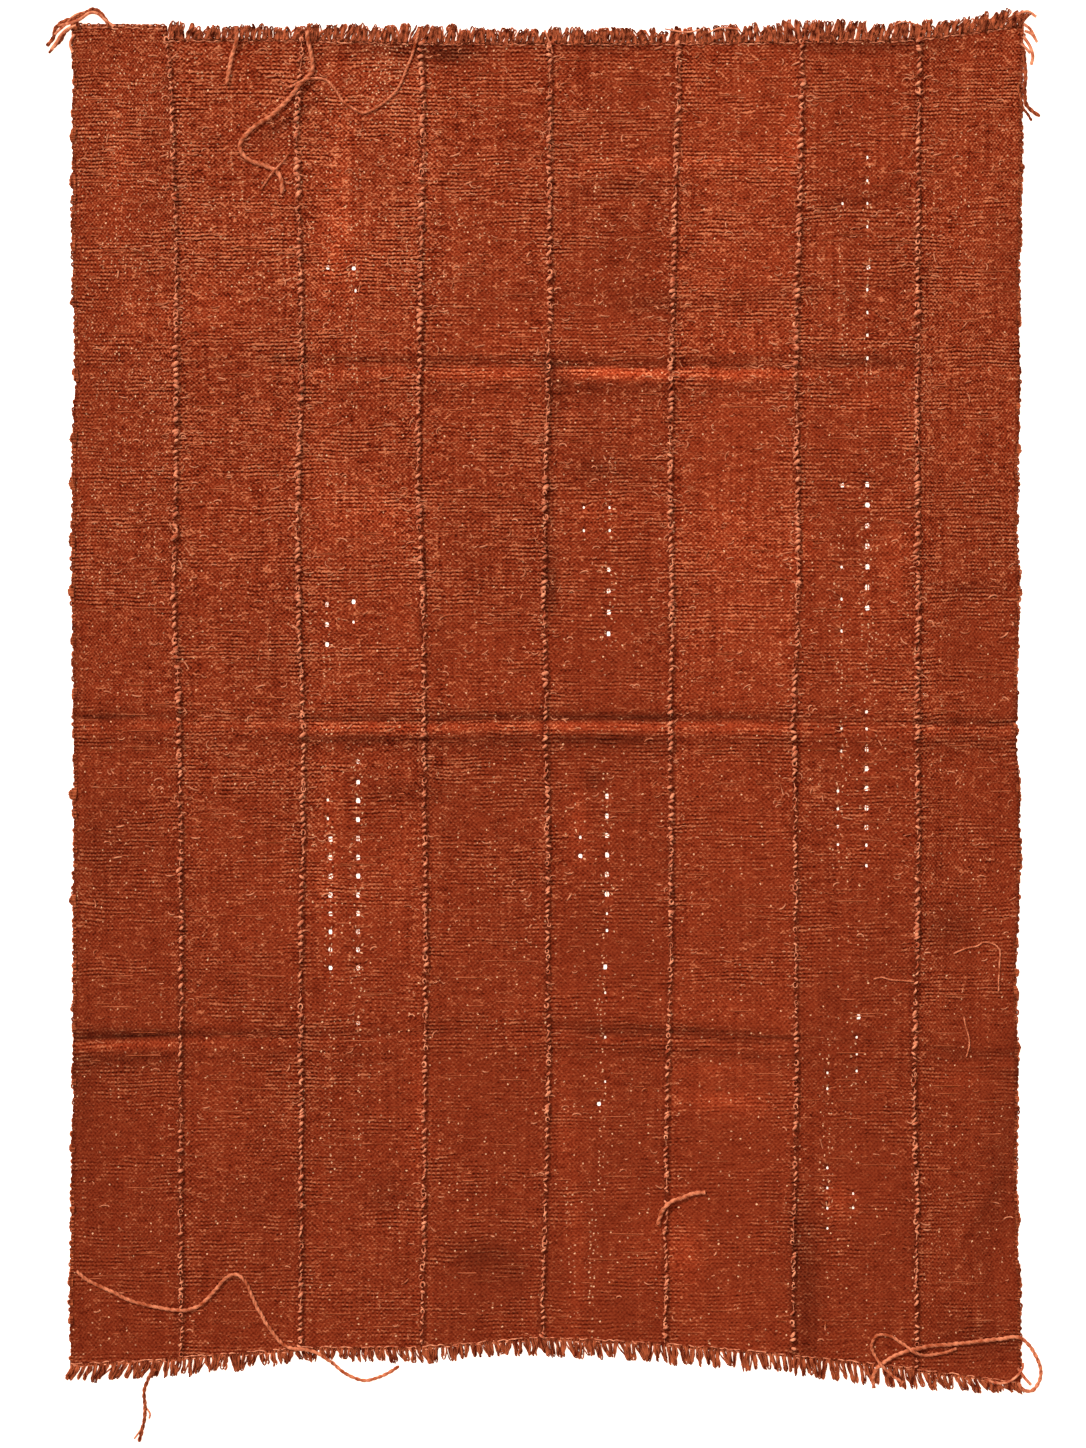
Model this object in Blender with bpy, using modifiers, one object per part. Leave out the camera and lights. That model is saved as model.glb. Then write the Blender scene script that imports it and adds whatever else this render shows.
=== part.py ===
# A rust-dyed cotton cloth sewn from eight handwoven strips, lying face up on a floor.
# X runs across the strips to the right, Y along them to the top end, Z up from the floor.
# The origin is on the floor, under the middle of the cloth. Sizes are in metres.

import math
import random
from collections import namedtuple

import bmesh
import bpy

MM = 0.001

CLOTH_THICKNESS = 1.6 * MM
PIECE_GAP = 0.3 * MM
STRIP_COUNT = 8

# Faces across one strip.
STRIP_SPANS = 2

# Plain cross sections this near a crease, in millimetres, give way to the crease's own rows.
CREASE_ZONE = 70

# Seam ridge: the yarn of the whip stitches standing over two butted selvedges.
SEAM_WIDTH = 5.0 * MM
SEAM_CROWN = 0.9 * MM
SEAM_THICKNESS = 1.3 * MM
SEAM_END_INSET = 2 * MM

# Fringe: warp ends twisted together into short locks.
FRINGE_THICKNESS = 2.2 * MM
BACKING_DEPTH = 2.6 * MM
LOCK_PITCH = 7.9 * MM
LOCK_ROOT_WIDTH = 4.4 * MM
LOCK_TIP_WIDTH = 2.6 * MM
LOCK_LEAN_SPREAD = 0.9 * MM
LOCK_LENGTH_SPREAD = 3.4 * MM
LOCK_TIP_SLANT = 0.5 * MM

# Farthest ends of the fringe along Y, and how far its corner locks reach past the selvedges.
HIGHEST_TIP = 783 * MM
LOWEST_TIP = -786 * MM
CORNER_REACH = 12 * MM

YARN_CLEARANCE = 0.3 * MM
YARN_STEP_IN_DIAMETERS = 2.8
YARN_SIDE_CLEARANCE = 0.5 * MM
YARN_FINE_STEP = 1.5 * MM
CURVE_STEPS = 16

# Lengthwise lines of the cloth: the left selvedge, the seven seams and the right selvedge, in
# millimetres from the middle, at each cross section from the top end to the bottom end.
Section = namedtuple("Section", "y left s1 s2 s3 s4 s5 s6 s7 right")
SECTIONS = [
    Section(770, -534, -428, -273, -143, 4, 149, 287, 419, 535),
    Section(652, -533, -421, -282, -139, 3, 147, 287, 418, 536),
    Section(517, -534, -417, -278, -142, 4, 143, 283, 417, 533),
    Section(382, -530, -417, -275, -143, 3, 140, 280, 417, 532),
    Section(247, -534, -417, -280, -145, -2, 139, 282, 416, 530),
    Section(112, -534, -420, -280, -139, -3, 141, 283, 418, 532),
    Section(-23, -532, -413, -274, -138, -1, 139, 277, 417, 528),
    Section(-158, -532, -412, -274, -137, 1, 140, 280, 418, 533),
    Section(-293, -533, -411, -277, -136, 1, 140, 280, 416, 529),
    Section(-428, -532, -412, -276, -137, 2, 136, 281, 413, 529),
    Section(-563, -535, -412, -276, -138, -1, 134, 278, 416, 530),
    Section(-698, -536, -411, -277, -140, -5, 134, 277, 416, 534),
    Section(-775, -536, -410, -277, -141, -6, 134, 277, 416, 533),
]

# Ends of each strip, in millimetres along Y, at its left and right selvedge, and the line that
# the fringe tips reach there. A lean is how far the outermost locks bend sideways.
StripEnd = namedtuple("StripEnd", "strip base_left base_right tip_left tip_right lean_left lean_right")
TOP_ENDS = [
    StripEnd(1, 759, 758, None, None, 0, 0),
    StripEnd(2, 744, 744, 762, 758, 2, 3),
    StripEnd(3, 744, 740, 759, 760, 3, 4),
    StripEnd(4, 740, 740, 760, 755, 3, 2),
    StripEnd(5, 740, 740, 758, 755, 1, 1),
    StripEnd(6, 740, 742, 757, 764, -2, -2),
    StripEnd(7, 742, 744, 767, 761, 4, 3),
    StripEnd(8, 745, 760, 763, 779, 3, 10),
]
BOTTOM_ENDS = [
    StripEnd(1, -751, -744, -768, -763, -10, -2),
    StripEnd(2, -743, -733, -762, -745, -2, 1),
    StripEnd(3, -732, -732, -744, -746, 2, 2),
    StripEnd(4, -731, -721, -746, -737, 2, 2),
    StripEnd(5, -721, -727, -739, -744, 3, 3),
    StripEnd(6, -728, -740, -749, -758, 3, 3),
    StripEnd(7, -741, -755, -760, -777, 2, 4),
    StripEnd(8, -757, -771, -775, -781, 4, 9),
]

# Storage creases across the cloth: where each crosses the nine lengthwise lines, and the height
# in millimetres to which the cloth stands up on its two sides there. Heights between the lines
# are interpolated.
Crease = namedtuple("Crease", "name y upper lower")
CREASES = [
    Crease("upper",
           (372, 373, 374, 375, 375, 374, 374, 375, 376),
           (0.8, 0.8, 1.0, 1.6, 4.2, 3.4, 2.0, 2.2, 2.0),
           (0.6, 0.8, 1.2, 2.4, 5.2, 4.6, 2.6, 2.6, 2.2)),
    Crease("middle",
           (-20, -21, -23, -24, -23, -23, -25, -26, -27),
           (2.0, 2.2, 2.6, 2.4, 2.2, 2.4, 2.8, 3.0, 2.6),
           (3.6, 4.0, 4.6, 4.0, 4.2, 4.2, 4.2, 3.6, 3.4)),
    Crease("lower",
           (-382, -380, -376, -373, -368, -372, -382, -392, -400),
           (1.4, 1.2, 1.6, 2.6, 3.6, 3.4, 2.4, 1.6, 1.8),
           (4.2, 3.0, 1.8, 2.2, 3.4, 3.4, 2.2, 2.0, 2.4)),
]
# Rows of one crease: distance along Y from its fold line and the share of each side's height.
CreaseRow = namedtuple("CreaseRow", "offset upper_share lower_share")
CREASE_ROWS = [
    CreaseRow(46, 0.0, 0.0),
    CreaseRow(17, 1.0, 0.0),
    CreaseRow(0, 0.15, 0.15),
    CreaseRow(-15, 0.0, 1.0),
    CreaseRow(-44, 0.0, 0.0),
]

# Open eyelets of the weave: columns of holes, in millimetres, evenly spaced between two ends.
Eyelets = namedtuple("Eyelets", "strip x y_first y_last count width height")
EYELETS = [
    Eyelets(3, -247, 107, 62, 3, 4.2, 4.8),
    Eyelets(3, -217, 110, 110, 1, 4.2, 4.6),
    Eyelets(3, -243, -157, -220, 4, 5.0, 5.6),
    Eyelets(3, -243, -241, -302, 4, 4.4, 5.0),
    Eyelets(3, -212, -70, -93, 2, 4.2, 4.4),
    Eyelets(3, -212, -114, -220, 6, 4.6, 5.4),
    Eyelets(3, -212, -241, -302, 4, 4.4, 5.2),
    Eyelets(3, -246, 486, 486, 1, 4.2, 4.2),
    Eyelets(3, -217, 485, 485, 1, 4.4, 4.4),
    Eyelets(3, -212, -364, -364, 1, 4.2, 4.2),
    Eyelets(5, 70, 146, 74, 4, 4.2, 4.8),
    Eyelets(5, 68, -109, -219, 6, 4.4, 5.2),
    Eyelets(5, 38, -176, -176, 1, 4.2, 4.6),
    Eyelets(5, 66, -301, -301, 1, 4.4, 5.2),
    Eyelets(5, 59, -455, -455, 1, 4.2, 4.4),
    Eyelets(7, 361, 242, 103, 7, 4.8, 5.4),
    Eyelets(7, 333, 241, 241, 1, 4.2, 4.6),
    Eyelets(7, 360, -56, -144, 5, 4.6, 5.2),
    Eyelets(7, 362, 486, 486, 1, 4.2, 4.8),
    Eyelets(7, 351, -357, -357, 1, 4.6, 5.2),
]
EYELET_SIDES = 6
CUTTER_DEPTH = 40 * MM

# Loose yarns, from the end that is sewn in to the free end, in millimetres.
Yarn = namedtuple("Yarn", "name diameter route")
YARNS = [
    Yarn("yarn_seam_2", 3.6, [
        (-269, 752), (-267, 736), (-263, 718), (-265, 705), (-277, 691), (-292, 673), (-311, 656),
        (-329, 644), (-343, 629), (-344, 617), (-336, 608), (-316, 600), (-302, 592), (-298, 580),
        (-298, 569)]),
    Yarn("yarn_seam_2_loop", 2.2, [
        (-291, 688), (-281, 692), (-266, 698), (-250, 698), (-240, 689), (-229, 673), (-213, 662),
        (-204, 660), (-186, 669), (-167, 688), (-156, 713), (-147, 738), (-143, 755)]),
    Yarn("yarn_cross", 1.8, [
        (-289, 615), (-297, 605), (-305, 596), (-314, 585), (-322, 573)]),
    Yarn("yarn_top_tail", 3.4, [
        (-348, 757), (-349, 741), (-353, 726), (-357, 710), (-360, 692)]),
    Yarn("yarn_corner_tie", 3.4, [
        (-492, 757), (-497, 767), (-505, 775), (-513, 776), (-521, 770), (-533, 766), (-544, 762),
        (-552, 755), (-555, 744), (-562, 735)]),
    Yarn("yarn_corner_tie_short", 2.6, [
        (-529, 755), (-536, 755), (-542, 749), (-546, 742), (-553, 735), (-560, 727)]),
    Yarn("yarn_right_corner", 3.4, [
        (537, 729), (538, 713), (539, 700), (538, 686), (539, 671), (546, 662), (555, 656)]),
    Yarn("yarn_right_corner_short", 2.4, [
        (531, 692), (532, 680), (535, 668), (541, 659), (546, 651)]),
    Yarn("yarn_side_thread", 1.4, [
        (458, -286), (472, -280), (484, -278), (492, -273), (501, -274), (509, -280), (510, -292),
        (509, -304), (509, -316), (508, -328)]),
    Yarn("yarn_seam_7_thread", 1.4, [
        (413, -317), (400, -316), (387, -315), (377, -313), (368, -315)]),
    Yarn("yarn_lower_thread", 1.4, [
        (469, -356), (471, -367), (475, -379), (476, -390), (472, -402)]),
    Yarn("yarn_seam_5", 3.4, [
        (178, -554), (164, -556), (151, -561), (138, -566), (130, -575), (125, -591)]),
    Yarn("yarn_left_long", 3.0, [
        (-529, -643), (-515, -654), (-493, -664), (-470, -675), (-446, -682), (-417, -686),
        (-402, -686), (-387, -679), (-371, -663), (-361, -651), (-351, -647), (-341, -652),
        (-333, -668), (-323, -689), (-310, -710), (-297, -725), (-284, -730), (-270, -731),
        (-253, -737), (-237, -749), (-221, -761), (-204, -766), (-185, -761), (-166, -750)]),
    Yarn("yarn_hanging", 3.2, [
        (-440, -752), (-448, -764), (-453, -779), (-452, -795), (-452, -809), (-455, -823),
        (-458, -835)]),
    Yarn("yarn_right_loop", 3.2, [
        (368, -775), (367, -763), (373, -751), (386, -741), (401, -734), (427, -728), (454, -725),
        (482, -723), (510, -719), (530, -717), (542, -726), (552, -741), (556, -756), (554, -768),
        (546, -777), (536, -776), (530, -768)]),
    Yarn("yarn_right_loop_inner", 2.6, [
        (401, -768), (385, -757), (372, -742), (366, -728), (371, -716), (385, -716), (401, -725),
        (413, -734), (428, -738), (445, -735), (461, -730)]),
]

MATERIALS = {
    "strip": ("Rust_dyed_cotton_weave", (0.29, 0.048, 0.018), 0.92),
    "seam": ("Cotton_sewing_yarn", (0.38, 0.085, 0.036), 0.9),
    "fringe": ("Cotton_warp_ends", (0.33, 0.062, 0.026), 0.92),
    "yarn": ("Loose_cotton_yarn", (0.42, 0.11, 0.05), 0.9),
}


def mix(first, second, share):
    return first + (second - first) * share


def across(values, line):
    # Value at a lengthwise line; a fraction lies between two lines.
    index = min(int(line), len(values) - 2)
    return mix(values[index], values[index + 1], line - index)


def line_x(line, y):
    # X of a lengthwise line at a height along the cloth, both in millimetres.
    for upper, lower in zip(SECTIONS, SECTIONS[1:]):
        if y >= lower.y:
            break
    share = (upper.y - y) / (upper.y - lower.y)
    share = min(max(share, 0.0), 1.0)
    return mix(across(upper[1:], line), across(lower[1:], line), share)


def end_y(ends, line):
    # Y of the cloth's end at a line; a strip owns the lines between its two selvedges.
    number = min(int(line), STRIP_COUNT - 1)
    end = ends[number]
    return mix(end.base_left, end.base_right, line - number)


def strip_rows(number):
    # Rows of one strip from its top end to its bottom end. Each row is a function of the
    # line that gives the place along Y and the height of the underside, in millimetres.
    top = TOP_ENDS[number - 1]
    bottom = BOTTOM_ENDS[number - 1]
    first = number - 1

    def end_row(end):
        return lambda line: (mix(end.base_left, end.base_right, line - first), 0.0)

    def plain_row(y):
        return lambda line: (y, 0.0)

    def crease_row(crease, row):
        def place(line):
            height = row.upper_share * across(crease.upper, line)
            height = height + row.lower_share * across(crease.lower, line)
            return across(crease.y, line) + row.offset, height
        return place

    rows = [(top.base_left, end_row(top))]
    for section in SECTIONS[1:-1]:
        if all(abs(section.y - crease.y[4]) > CREASE_ZONE for crease in CREASES):
            rows.append((section.y, plain_row(section.y)))
    for crease in CREASES:
        for row in CREASE_ROWS:
            rows.append((crease.y[first] + row.offset, crease_row(crease, row)))
    rows.append((bottom.base_left, end_row(bottom)))
    rows.sort(key=lambda item: -item[0])
    return [place for order, place in rows]


def cloth_height(line, y):
    # Height of the cloth's underside at a point, in millimetres.
    for crease in CREASES:
        offset = y - across(crease.y, line)
        for before, after in zip(CREASE_ROWS, CREASE_ROWS[1:]):
            if after.offset <= offset <= before.offset:
                share = (before.offset - offset) / (before.offset - after.offset)
                high = before.upper_share * across(crease.upper, line)
                high = high + before.lower_share * across(crease.lower, line)
                low = after.upper_share * across(crease.upper, line)
                low = low + after.lower_share * across(crease.lower, line)
                return mix(high, low, share)
    return 0.0


def line_at(x, y):
    # The line, with its fraction, on which a point of the cloth lies, or None outside it.
    edges = [line_x(line, y) for line in range(STRIP_COUNT + 1)]
    if x < edges[0] or x > edges[-1]:
        return None
    for index in range(STRIP_COUNT):
        if x <= edges[index + 1]:
            return index + (x - edges[index]) / (edges[index + 1] - edges[index])
    return None


def surface_at(x, y):
    # Height of whatever lies at a point, in millimetres: ridge, cloth, fringe or bare floor.
    line = line_at(x, y)
    fringe_top = (FRINGE_THICKNESS + PIECE_GAP) / MM
    reach = CORNER_REACH / MM
    if line is None:
        top_corner = x > 0 and TOP_ENDS[-1].base_left < y < HIGHEST_TIP / MM
        bottom_corner = LOWEST_TIP / MM < y < BOTTOM_ENDS[0].base_left
        beside = line_x(0, y) - reach < x < line_x(STRIP_COUNT, y) + reach
        return fringe_top if beside and (top_corner or bottom_corner) else 0.0
    if y > end_y(TOP_ENDS, line):
        return fringe_top if line > 1 and y < HIGHEST_TIP / MM else 0.0
    if y < end_y(BOTTOM_ENDS, line):
        return fringe_top if y > LOWEST_TIP / MM else 0.0
    height = cloth_height(line, y) + CLOTH_THICKNESS / MM
    nearest = round(line)
    beside_seam = abs(x - line_x(nearest, y)) < (0.5 * SEAM_WIDTH + YARN_SIDE_CLEARANCE) / MM
    if 0 < nearest < STRIP_COUNT and beside_seam:
        ridge = PIECE_GAP + SEAM_CROWN + SEAM_THICKNESS
        height = height + ridge / MM
    return height


def new_material(kind):
    name, colour, roughness = MATERIALS[kind]
    material = bpy.data.materials.new(name)
    material.use_nodes = True
    shader = material.node_tree.nodes["Principled BSDF"]
    shader.inputs["Base Color"].default_value = (*colour, 1.0)
    shader.inputs["Roughness"].default_value = roughness
    shader.inputs["Metallic"].default_value = 0.0
    material.diffuse_color = (*colour, 1.0)
    return material


def add_object(name, data, collection, material=None):
    thing = bpy.data.objects.new(name, data)
    collection.objects.link(thing)
    if material is not None:
        data.materials.append(material)
    return thing


def grid_mesh(name, columns, rows, place):
    # A grid of faces whose points are placed by their column and row.
    mesh = bpy.data.meshes.new(name)
    grid = bmesh.new()
    bmesh.ops.create_grid(grid, x_segments=columns, y_segments=rows, size=0.5)
    for vertex in grid.verts:
        column = round((vertex.co.x + 0.5) * columns)
        row = round((0.5 - vertex.co.y) * rows)
        vertex.co = place(column, row)
    grid.to_mesh(mesh)
    grid.free()
    return mesh


def thicken(thing, thickness):
    solid = thing.modifiers.new("Thickness", "SOLIDIFY")
    solid.thickness = thickness
    solid.offset = 1.0


def eyelet_cutter(name, number, collection):
    # All open eyelets of one strip, as upright prisms in one object.
    mesh = bpy.data.meshes.new(name)
    prisms = bmesh.new()
    for row in EYELETS:
        if row.strip != number:
            continue
        for index in range(row.count):
            share = index / max(row.count - 1, 1)
            made = bmesh.ops.create_cone(prisms, cap_ends=True, segments=EYELET_SIDES,
                                         radius1=0.5, radius2=0.5, depth=CUTTER_DEPTH)
            bmesh.ops.scale(prisms, verts=made["verts"],
                            vec=(row.width * MM, row.height * MM, 1.0))
            middle = (row.x * MM, mix(row.y_first, row.y_last, share) * MM, 0.0)
            bmesh.ops.translate(prisms, verts=made["verts"], vec=middle)
    prisms.to_mesh(mesh)
    prisms.free()
    cutter = add_object(name, mesh, collection)
    cutter.hide_render = True
    cutter.display_type = "WIRE"
    return cutter


def add_strip(number, collection, cutters, material):
    rows = strip_rows(number)
    half_gap = 0.5 * PIECE_GAP

    def place(column, row):
        line = number - 1 + column / STRIP_SPANS
        y, height = rows[row](line)
        x = line_x(line, y) * MM
        if column == 0 and number > 1:
            x = x + half_gap
        if column == STRIP_SPANS and number < STRIP_COUNT:
            x = x - half_gap
        return x, y * MM, height * MM

    mesh = grid_mesh(f"strip_{number}", STRIP_SPANS, len(rows) - 1, place)
    strip = add_object(f"strip_{number}", mesh, collection, material)
    thicken(strip, CLOTH_THICKNESS)
    if any(row.strip == number for row in EYELETS):
        cut = strip.modifiers.new("Eyelets", "BOOLEAN")
        cut.operation = "DIFFERENCE"
        cut.solver = "EXACT"
        cut.object = eyelet_cutter(f"eyelets_{number}", number, cutters)
    return strip


def add_seam(number, collection, material):
    # A low ridge over the join between two strips; it ends inside both strips' ends.
    rows = strip_rows(number)
    neighbour = strip_rows(number + 1)
    rest = (CLOTH_THICKNESS + PIECE_GAP) / MM
    inset = SEAM_END_INSET / MM

    def place(column, row):
        y, height = rows[row](number)
        if row in (0, len(rows) - 1):
            other = neighbour[row](number)[0]
            y = min(y, other) - inset if row == 0 else max(y, other) + inset
        lift = SEAM_CROWN / MM if column == 1 else 0.0
        x = line_x(number, y) * MM + (column - 1) * 0.5 * SEAM_WIDTH
        return x, y * MM, (height + rest + lift) * MM

    mesh = grid_mesh(f"seam_{number}", 2, len(rows) - 1, place)
    seam = add_object(f"seam_{number}", mesh, collection, material)
    thicken(seam, SEAM_THICKNESS)
    return seam


def fringe_outline(end, direction):
    # Outline of one fringe in millimetres: a backing along the strip's end, then its locks.
    number = end.strip
    gap = PIECE_GAP / MM
    depth = BACKING_DEPTH / MM
    noise = random.Random(100 * number + direction)
    left = line_x(number - 1, end.base_left) + gap
    right = line_x(number, end.base_right) - gap
    width = right - left

    def base(x, out):
        y = mix(end.base_left, end.base_right, (x - left) / width)
        return x, y + direction * out

    count = int(width / (LOCK_PITCH / MM))
    pitch = width / count
    root = 0.5 * LOCK_ROOT_WIDTH / MM
    tip = 0.5 * LOCK_TIP_WIDTH / MM
    points = [base(right, gap), base(left, gap), base(left, gap + depth)]
    for index in range(count):
        share = (index + 0.5) / count
        middle = left + (index + 0.5) * pitch
        lean = mix(end.lean_left, end.lean_right, share)
        lean = lean + noise.uniform(-1.0, 1.0) * LOCK_LEAN_SPREAD / MM
        shortfall = noise.uniform(0.0, 1.0) * LOCK_LENGTH_SPREAD / MM
        reach = mix(end.tip_left, end.tip_right, share) - direction * shortfall
        points.append(base(middle - root, gap + depth))
        points.append((middle + lean - tip, reach))
        points.append((middle + lean + tip, reach - direction * LOCK_TIP_SLANT / MM))
        points.append(base(middle + root, gap + depth))
    points.append(base(right, gap + depth))
    return points


def add_fringe(name, end, direction, collection, material):
    curve = bpy.data.curves.new(name, "CURVE")
    curve.dimensions = "2D"
    curve.fill_mode = "BOTH"
    curve.extrude = 0.5 * FRINGE_THICKNESS
    points = fringe_outline(end, direction)
    spline = curve.splines.new("POLY")
    spline.points.add(len(points) - 1)
    for point, (x, y) in zip(spline.points, points):
        point.co = (x * MM, y * MM, 0.0, 1.0)
    spline.use_cyclic_u = True
    fringe = add_object(name, curve, collection, material)
    fringe.location.z = 0.5 * FRINGE_THICKNESS
    return fringe


def smooth_route(route, step):
    # Points about one step apart on a smooth curve through the route's own points.
    fine = []
    ends = [route[0]] + list(route) + [route[-1]]
    for before, start, stop, after in zip(ends, ends[1:], ends[2:], ends[3:]):
        for index in range(CURVE_STEPS):
            t = index / CURVE_STEPS
            point = []
            for p0, p1, p2, p3 in zip(before, start, stop, after):
                bend = 2 * p0 - 5 * p1 + 4 * p2 - p3
                turn = 3 * p1 - p0 - 3 * p2 + p3
                point.append(p1 + 0.5 * t * (p2 - p0 + t * (bend + t * turn)))
            fine.append(tuple(point))
    fine.append(tuple(route[-1]))
    lengths = [0.0]
    for first, second in zip(fine, fine[1:]):
        lengths.append(lengths[-1] + math.dist(first, second))
    count = max(int(lengths[-1] / step), 4)
    points = []
    index = 0
    for number in range(count + 1):
        wanted = lengths[-1] * number / count
        while index < len(lengths) - 2 and lengths[index + 1] < wanted:
            index = index + 1
        share = (wanted - lengths[index]) / max(lengths[index + 1] - lengths[index], 1e-9)
        points.append(tuple(mix(a, b, share) for a, b in zip(fine[index], fine[index + 1])))
    return points


def needed_height(x, y, radius, laid):
    # Lowest height for a yarn's centre over the cloth and over the yarns laid before it.
    clearance = YARN_CLEARANCE / MM
    height = 0.0
    reach = radius + YARN_SIDE_CLEARANCE / MM
    for dx in (-reach, 0.0, reach):
        for dy in (-reach, 0.0, reach):
            height = max(height, surface_at(x + dx, y + dy))
    height = height + radius + clearance
    for other_radius, points in laid:
        apart = radius + other_radius + clearance
        for px, py, pz in points:
            distance = math.hypot(px - x, py - y)
            if distance < apart + YARN_FINE_STEP / MM:
                height = max(height, pz + apart)
    return height


def lay_yarn(yarn, laid):
    # Route of one yarn in millimetres, laid over everything under it with soft rises.
    radius = 0.5 * yarn.diameter
    fine_step = YARN_FINE_STEP / MM
    flat = smooth_route(yarn.route, fine_step)
    needed = [needed_height(x, y, radius, laid) for x, y in flat]
    reach = max(round(YARN_STEP_IN_DIAMETERS * yarn.diameter / fine_step), 3)
    raised = []
    for index in range(len(flat)):
        near = needed[max(index - reach, 0):index + reach + 1]
        raised.append(max(near))
    eased = []
    for index in range(len(flat)):
        near = raised[max(index - reach + 1, 0):index + reach]
        eased.append(sum(near) / len(near))
    route = [(x, y, max(z, low)) for (x, y), z, low in zip(flat, eased, needed)]
    laid.append((radius, route))
    return smooth_route(route, YARN_STEP_IN_DIAMETERS * yarn.diameter)


def add_yarn(yarn, laid, collection, material):
    curve = bpy.data.curves.new(yarn.name, "CURVE")
    curve.dimensions = "3D"
    curve.fill_mode = "FULL"
    curve.bevel_depth = 0.5 * yarn.diameter * MM
    curve.bevel_resolution = 2
    curve.use_fill_caps = True
    points = lay_yarn(yarn, laid)
    spline = curve.splines.new("POLY")
    spline.points.add(len(points) - 1)
    for point, (x, y, z) in zip(spline.points, points):
        point.co = (x * MM, y * MM, z * MM, 1.0)
    spline.use_smooth = True
    return add_object(yarn.name, curve, collection, material)


def main():
    for thing in list(bpy.data.objects):
        bpy.data.objects.remove(thing, do_unlink=True)
    parts = bpy.data.collections.new("Strip_woven_cloth")
    cutters = bpy.data.collections.new("Cutters")
    bpy.context.scene.collection.children.link(parts)
    bpy.context.scene.collection.children.link(cutters)
    materials = {kind: new_material(kind) for kind in MATERIALS}

    for number in range(1, STRIP_COUNT + 1):
        add_strip(number, parts, cutters, materials["strip"])
    for number in range(1, STRIP_COUNT):
        add_seam(number, parts, materials["seam"])
    for end in TOP_ENDS:
        if end.tip_left is not None:
            add_fringe(f"fringe_top_{end.strip}", end, 1, parts, materials["fringe"])
    for end in BOTTOM_ENDS:
        add_fringe(f"fringe_bottom_{end.strip}", end, -1, parts, materials["fringe"])
    laid = []
    for yarn in YARNS:
        add_yarn(yarn, laid, parts, materials["yarn"])


main()
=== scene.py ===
import math
import random

import bmesh
import bpy
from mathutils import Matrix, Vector, noise
from mathutils.bvhtree import BVHTree


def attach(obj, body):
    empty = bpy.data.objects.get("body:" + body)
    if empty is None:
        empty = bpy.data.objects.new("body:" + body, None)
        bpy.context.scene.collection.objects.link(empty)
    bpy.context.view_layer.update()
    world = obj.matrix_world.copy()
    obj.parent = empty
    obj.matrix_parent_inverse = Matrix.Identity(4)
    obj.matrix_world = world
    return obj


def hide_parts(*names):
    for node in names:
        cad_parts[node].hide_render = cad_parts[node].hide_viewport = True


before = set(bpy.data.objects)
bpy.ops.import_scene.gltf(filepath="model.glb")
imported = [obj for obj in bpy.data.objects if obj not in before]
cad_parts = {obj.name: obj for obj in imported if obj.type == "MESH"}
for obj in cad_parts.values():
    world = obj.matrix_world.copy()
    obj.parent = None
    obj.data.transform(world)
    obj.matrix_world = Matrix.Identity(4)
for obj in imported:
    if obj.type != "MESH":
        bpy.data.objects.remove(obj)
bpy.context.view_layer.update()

mm = 0.001

# the lengthwise lines of the cloth, in mm: left selvedge, seven seams, right selvedge, at each y
layout = {
    "lines": [
        (770, -534, -428, -273, -143, 4, 149, 287, 419, 535),
        (652, -533, -421, -282, -139, 3, 147, 287, 418, 536),
        (517, -534, -417, -278, -142, 4, 143, 283, 417, 533),
        (382, -530, -417, -275, -143, 3, 140, 280, 417, 532),
        (247, -534, -417, -280, -145, -2, 139, 282, 416, 530),
        (112, -534, -420, -280, -139, -3, 141, 283, 418, 532),
        (-23, -532, -413, -274, -138, -1, 139, 277, 417, 528),
        (-158, -532, -412, -274, -137, 1, 140, 280, 418, 533),
        (-293, -533, -411, -277, -136, 1, 140, 280, 416, 529),
        (-428, -532, -412, -276, -137, 2, 136, 281, 413, 529),
        (-563, -535, -412, -276, -138, -1, 134, 278, 416, 530),
        (-698, -536, -411, -277, -140, -5, 134, 277, 416, 534),
        (-775, -536, -410, -277, -141, -6, 134, 277, 416, 533),
    ],
    # top and bottom end of each strip at its left and right, then where the fringe tips reach
    "top": [(759, 758, None, None), (744, 744, 762, 758), (744, 740, 759, 760), (740, 740, 760, 755),
            (740, 740, 758, 755), (740, 742, 757, 764), (742, 744, 767, 761), (745, 760, 763, 779)],
    "bottom": [(-751, -744, -768, -763), (-743, -733, -762, -745), (-732, -732, -744, -746),
               (-731, -721, -746, -737), (-721, -727, -739, -744), (-728, -740, -749, -758),
               (-741, -755, -760, -777), (-757, -771, -775, -781)],
    "topLean": [(0, 0), (2, 3), (3, 4), (3, 2), (1, 1), (-2, -2), (4, 3), (3, 10)],
    "bottomLean": [(-10, -2), (-2, 1), (2, 2), (2, 2), (3, 3), (3, 3), (2, 4), (4, 9)],
}

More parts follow.
